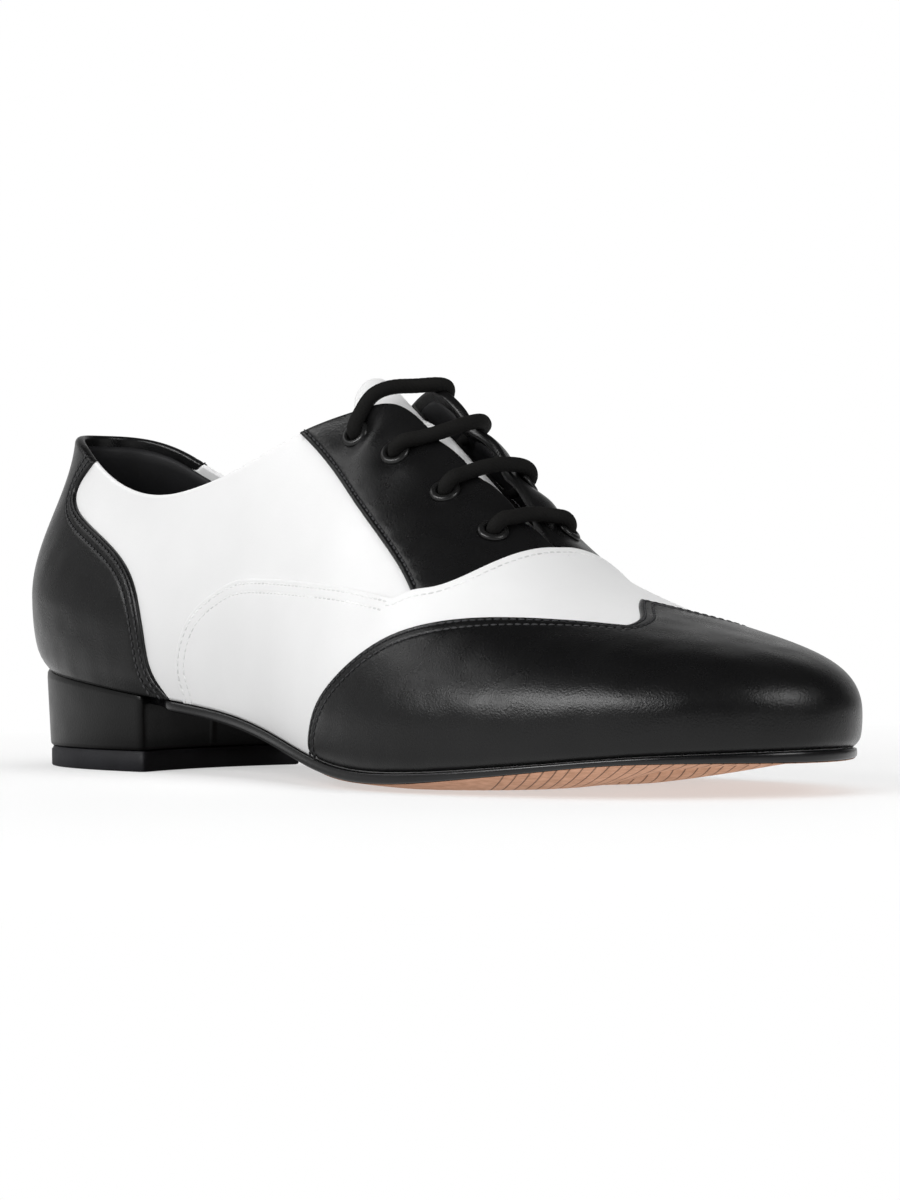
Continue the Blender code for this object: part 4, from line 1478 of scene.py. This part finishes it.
def refined(rows, count):
    """Rows of points with more rows, on smooth curves through them."""
    stations = np.arange(len(rows), dtype=float)
    fine = np.linspace(0, len(rows) - 1, count)
    flat = rows.reshape(len(rows), -1)
    return np.stack([smooth(stations, line)(fine) for line in flat.T], 1).reshape(count, *rows.shape[1:])


def tongue_surface():
    """Points of the tongue's outer side, rows along it and columns from the near side to the far one."""
    share = np.linspace(0, 1, TONGUE_ACROSS)[:, None]
    rows = []
    for row in TONGUE_ROWS:
        sides = [seat_at(row.x, sign, row.reach) for sign in (-1, 1)]
        near, far = (point - normal * TONGUE_UNDER for point, normal in sides)
        middle = (throat_edge(row.x, -1)[0] + throat_edge(row.x, 1)[0]) / 2 - np.array([0, 0, row.depth])
        pull = 2 * middle - (near + far) / 2
        rows.append((1 - share) ** 2 * near + 2 * share * (1 - share) * pull + share**2 * far)
    rows = refined(np.array(rows), TONGUE_ALONG)
    across = np.abs(2 * share - 1)
    length = TAB_LENGTH * np.maximum(1 - across**TAB_ROUND, TAB_LEAST) ** (1 / TAB_ROUND)
    rises = np.linspace(1, 0, TAB_COUNT, endpoint=False)
    tab = [rows[0] + length * np.array(TAB_WAY) * rise for rise in rises]
    return np.concatenate([tab, rows])


def make_tongue(looks):
    top = tongue_surface()
    count, across = top.shape[:2]
    normal = unit(np.cross(np.gradient(top, axis=0), np.gradient(top, axis=1)))
    normal *= np.sign(normal[..., 2].mean())
    i, j = np.meshgrid(np.arange(count), np.arange(across), indexing="ij")
    edge = np.minimum(np.minimum(i, count - 1 - i), np.minimum(j, across - 1 - j)) / TONGUE_ROUND
    lip = TONGUE_LIP * TONGUE * (1 - round_over(edge, 1.0))
    outer = top - normal * lip[..., None]
    inner = top - normal * (TONGUE - lip)[..., None]
    faces = grid_faces(count, across)
    points = np.concatenate([outer.reshape(-1, 3), inner.reshape(-1, 3)])
    rim = open_edges(faces)
    total = count * across
    sides = np.concatenate([
        np.stack([rim[:, 1], rim[:, 0], rim[:, 0] + total], 1),
        np.stack([rim[:, 1], rim[:, 0] + total, rim[:, 1] + total], 1),
    ])
    everything = np.concatenate([faces, faces[:, ::-1] + total, sides])
    # The tongue takes the darker white leather, with its painted shade
    solid_piece("tongue_leather", points, everything, looks["tongue"], "white_leather", "tongue")


def plan_rows(places, profile):
    """Rows of points round the outline. Each profile row gives inset from the outline and height."""
    x, foot, spine, away, width = plan_of(places)
    rows = []
    for inset, height in profile:
        drawn = inset(x) if callable(inset) else np.full_like(x, inset)
        reach = np.maximum(width - drawn, 0)
        plan = spine + away * reach[:, None]
        rows.append(np.column_stack([plan, height(x, 1 - np.minimum(drawn / width, 1))]))
    return np.array(rows)


def board_piece(name, around, edge, inset, height, material, slot, node_name):
    """A closed board: rings at the steps of its edge, in from an outline, each at its own height."""
    profile = []
    for inward, level in edge:
        profile.append((lambda x, i=inward: inset(x) + i, lambda x, share, h=level: height(x, h)))
    rows = plan_rows(np.linspace(-1, 1, around + 1), profile)
    solid_piece(name, rows.reshape(-1, 3), grid_faces(*rows.shape[:2]), material, slot, node_name)


def sole_inset(x):
    seat = 1 / (1 + np.exp((x - SEAT_END) / SEAT_BLEND))
    return SEAT_INSET * seat - EDGE_REACH * (1 - seat)


def make_outsole(looks):
    """The sole with a rounded painted edge, thinner under the toe."""

    def height(x, drop):
        return feather_at(x) - SOLE_GAP - drop * edge_thickness(x)

    board_piece("sole_leather", AROUND, SOLE_EDGE, sole_inset, height, looks["edge"], "sole_edge", "outsole")


def make_sock(looks):
    """The sock that the foot stands on, its edge inside the wall all round."""

    def inset(x):
        return SOCK_INSET + foot_tuck(x)

    def height(x, rise):
        return feather_at(x) + rise

    board_piece("sock", AROUND // 2, SOCK_EDGE, inset, height, looks["lining"], "dark_lining", "insole")


def tread_inset(x):
    return sole_inset(x) + TREAD_INSET + SHANK_INSET * (1 - ease(x, *SHANK_BLEND))


def make_tread(looks):
    """The suede from the heel's breast to the toe, crowned under the forefoot."""
    start = float(angle_of(TREAD_REAR))
    places = np.linspace(start, 2 - start, AROUND // 2 + 1)
    places = np.where(places > 1, places - 2, places)

    def top(x, share):
        return feather_at(x) - edge_thickness(x) - TREAD_GAP

    def brink(x, share):
        return top(x, share) - TREAD_BRINK

    def bottom(x, share):
        crown = tread_crown(x) * (1 - share**TREAD_BOW)
        return np.maximum(top(x, share) - TREAD_EDGE - crown, 0.0)

    profile = [(CENTRE, top), (lambda x: tread_inset(x) + TREAD_LAP, top), (tread_inset, brink)]
    for inset in np.linspace(0, 1, TREAD_RINGS) **TREAD_POWER * TREAD_SPAN:
        profile.append((lambda x, i=inset: tread_inset(x) + TREAD_TUCK + i, bottom))
    profile.append((CENTRE, bottom))
    rows = plan_rows(places, profile)
    count, around = rows.shape[:2]
    faces = [grid_faces(count, around)]
    for j, flip in ((0, 1), (around - 1, -1)):
        fan = np.array([[0, k, k + 1] for k in range(1, count - 1)])[:, ::flip]
        faces.append(fan * around + j)
    faces = np.concatenate(faces)
    solid_piece("tread_suede", rows.reshape(-1, 3), faces, looks["tan"], "tan_suede", "suede_tread")


def heel_outline(inset):
    """The heel's outline in plan: the seat's edge round the back, and the hollow breast with soft corners."""
    places = np.linspace(-HEEL_PLACE, HEEL_PLACE, HEEL_POINTS)
    x, foot, spine, away, width = plan_of(places)
    seat = spine + away * (width - inset)[:, None]

    def breast(y):
        return HEEL_LENGTH - inset * BREAST_DRAW - BREAST_CURVE * (1 - (y / BREAST_HALF) ** 2)

    seat = seat[seat[:, 0] < breast(seat[:, 1])]
    across = np.linspace(seat[-1, 1], seat[0, 1], BREAST_POINTS)
    ring = np.concatenate([seat, np.column_stack([breast(across), across])])
    for _ in range(2):
        closed = np.concatenate([ring, ring[:1]])
        along = lengths_along(closed)
        steps = np.linspace(0, along[-1], HEEL_SIDES + 1)[:-1]
        ring = np.column_stack([np.interp(steps, along, closed[:, i]) for i in range(2)])
    for _ in range(CORNER_SOFTEN):
        ring = 0.5 * ring + 0.25 * (np.roll(ring, 1, 0) + np.roll(ring, -1, 0))
    return ring


def stacked(name, rings, material, slot, node_name):
    """A closed piece from rings one above another, with a fan at each end."""
    rings = np.array(rings)
    count, around = rings.shape[:2]
    points = np.concatenate([rings.reshape(-1, 3), [rings[0].mean(0)], [rings[-1].mean(0)]])
    faces = grid_faces(count, around, wrap=True)
    low, high = count * around, count * around + 1
    first = np.arange(around)
    after = np.roll(first, -1)
    last = (count - 1) * around
    fans = [np.stack([after, first, np.full(around, low)], 1)]
    fans.append(np.stack([first + last, after + last, np.full(around, high)], 1))
    solid_piece(name, points, np.concatenate([faces, *fans]), material, slot, node_name)


def make_heel(looks):
    """The covered heel with a seam down its breast, and its rubber lift."""
    middle = np.array([HEEL_LENGTH / 2, 0.0])
    wide = heel_outline(HEEL_INSET)
    seam = BREAST_SEAM * np.exp(-((wide[:, 1] / BREAST_SEAM_WIDE) ** 2))
    wide[:, 0] -= np.where(wide[:, 0] > HEEL_LENGTH / 2, seam, 0.0)
    top = feather_at(wide[:, 0]) - GAP
    low = LIFT + GAP
    rings = []
    for share, draw in HEEL_RINGS:
        taper = 1 - (1 - share) * (1 - np.array(HEEL_TAPER))
        ring = middle + (wide - middle) * taper
        ring = ring - unit(ring - middle) * draw
        rings.append(np.column_stack([ring, low + (top - low) * share]))
    stacked("heel_cover", rings, looks["cover"], "heel_cover", "heel_block")
    inner = heel_outline(LIFT_INSET)
    rings = []
    for height, draw in LIFT_RINGS:
        ring = inner - unit(inner - middle) * draw
        rings.append(np.column_stack([ring, np.full(len(ring), height)]))
    stacked("heel_rubber", rings, looks["rubber"], "lift_rubber", "heel_lift")


def seen_by_camera(tree):
    return node(tree, "ShaderNodeLightPath").outputs["Is Camera Ray"]


def make_floor():
    """A pale studio floor that the camera sees brighten to the white of the backdrop. To everything else it
    glows, with painted shade under the waist and the heel's breast.
    """
    material, tree, shader, place = finish_of("studio_floor", roughness=0.65, specular_ior_level=0.2)
    shader.inputs["Base Color"].default_value = FLOOR_WHITE
    seen = seen_by_camera(tree)
    far = node(tree, "ShaderNodeVectorMath", {0: place}, operation="LENGTH")
    fade = spread(tree, far.outputs["Value"], FLOOR_CLEAR, 1.0, *FLOOR_FADE)
    share = calc(tree, "MAXIMUM", fade, calc(tree, "SUBTRACT", 1.0, seen))
    # Painted shade: the glow that everything but the camera gets is dimmed to FLOOR_SHADE round SHADE_MIDDLE,
    # where the shoe's arch would shade the floor
    away = node(tree, "ShaderNodeVectorMath", {0: place, 1: SHADE_MIDDLE}, operation="DISTANCE")
    shade = spread(tree, away.outputs["Value"], FLOOR_SHADE, FLOOR_GLOW, *SHADE_FADE)
    level = spread(tree, seen, shade, 1.0)
    add_bump(tree, shader, noise(tree, place, 0.0025), 0.03, 0.0001)
    glow = node(tree, "ShaderNodeEmission", {"Color": (1, 1, 1, 1), "Strength": level})
    mix = node(tree, "ShaderNodeMixShader", {0: share, 1: shader.outputs[0], 2: glow.outputs[0]})
    tree.links.new(mix.outputs[0], tree.nodes["Material Output"].inputs["Surface"])
    turns = np.arange(FLOOR_SIDES) * math.tau / FLOOR_SIDES
    rows = np.array([[[r * math.cos(t), r * math.sin(t), 0.0] for t in turns] for r in FLOOR_RINGS])
    faces = grid_faces(len(FLOOR_RINGS), FLOOR_SIDES, wrap=True)
    points, faces, _ = welded(rows.reshape(-1, 3), faces, [], 1e-5)
    thing = new_mesh("studio_floor", points - np.array([0, 0, FLOOR_DROP]), faces[:, ::-1])
    thing.data.materials.append(material)


def add_light(name, place, target, size, power, lit, mirrored):
    light = bpy.data.lights.new(name, "AREA")
    light.shape = "RECTANGLE"
    light.size, light.size_y = size
    light.energy = power
    thing = bpy.data.objects.new(name, light)
    bpy.context.scene.collection.objects.link(thing)
    thing.location = place
    aim = Vector(target) - Vector(place)
    thing.rotation_euler = aim.to_track_quat("-Z", "Y").to_euler()
    thing.visible_camera = False
    thing.visible_diffuse = lit
    thing.visible_glossy = mirrored


def make_world():
    """White to the camera. To the shoe, grey that fades upwards and is brightest in front and behind."""
    world = bpy.data.worlds.new("studio")
    bpy.context.scene.world = world
    world.use_nodes = True
    tree = world.node_tree
    way = node(tree, "ShaderNodeTexCoord").outputs["Generated"]
    height = node(tree, "ShaderNodeSeparateXYZ", {0: way}).outputs["Z"]
    rise = spread(tree, height, WORLD_LOW, WORLD_HIGH, *WORLD_FADE)
    shares = []
    for lobe in WORLD_LOBES:
        turn = node(tree, "ShaderNodeVectorMath", {0: way, 1: lobe.way}, operation="DOT_PRODUCT")
        shares.append(spread(tree, turn.outputs["Value"], lobe.dim, lobe.bright, lobe.start, lobe.end))
    grey_level = calc(tree, "MULTIPLY", rise, calc(tree, "MAXIMUM", *shares))
    level = spread(tree, seen_by_camera(tree), grey_level, 1.0)
    tree.nodes["Background"].inputs["Color"].default_value = (1, 1, 1, 1)
    tree.links.new(level, tree.nodes["Background"].inputs["Strength"])


def make_camera():
    """The photo's camera, aimed through the middle of the picture."""
    theta, rise, roll = (math.radians(angle) for angle in CAMERA_ANGLES)
    back = np.array([math.sin(theta) * math.cos(rise), -math.cos(theta) * math.cos(rise), math.sin(rise)])
    right = np.array([math.cos(theta), math.sin(theta), 0.0])
    up = np.cross(back, right)
    turned_right = right * math.cos(roll) + up * math.sin(roll)
    turned_up = -right * math.sin(roll) + up * math.cos(roll)
    spot = np.array(CAMERA_TARGET) + back * CAMERA_DISTANCE
    aim = unit(-back + (-turned_right * CAMERA_SHIFT[0] + turned_up * CAMERA_SHIFT[1]) / CAMERA_FOCAL)
    turned_right = unit(np.cross(aim, np.cross(turned_right, aim)))
    turned_up = np.cross(turned_right, aim)
    turn = Matrix([[turned_right[i], turned_up[i], -aim[i]] for i in range(3)]).to_4x4()
    camera = bpy.data.cameras.new("camera")
    camera.sensor_fit = "VERTICAL"
    camera.sensor_height = SENSOR
    camera.lens = SENSOR * CAMERA_FOCAL / PICTURE_HEIGHT
    camera.clip_start, camera.clip_end = CAMERA_CLIP
    thing = bpy.data.objects.new("camera", camera)
    bpy.context.scene.collection.objects.link(thing)
    thing.matrix_world = Matrix.Translation(Vector(to_frame(spot))) @ turn
    bpy.context.scene.camera = thing


def make_studio():
    make_floor()
    make_world()
    for row in LIGHTS:
        add_light(*row)
    bpy.context.scene.view_settings.view_transform = "Standard"
    make_camera()


LOOKS = make_materials()
SEATS = lace_seats()
BASE, LIP = base_sheet()
make_quarters(BASE, LOOKS)
make_lining(LOOKS)
make_counter(BASE, LOOKS)
make_facings(BASE, SEATS, LOOKS)
make_vamp(BASE, LIP, LOOKS)
make_wing(BASE, LOOKS)
make_eyelets(SEATS, LOOKS)
print(f"lace length {make_lace(SEATS, LOOKS):.0f} mm")
make_tongue(LOOKS)
make_outsole(LOOKS)
make_sock(LOOKS)
make_tread(LOOKS)
make_heel(LOOKS)
make_studio()
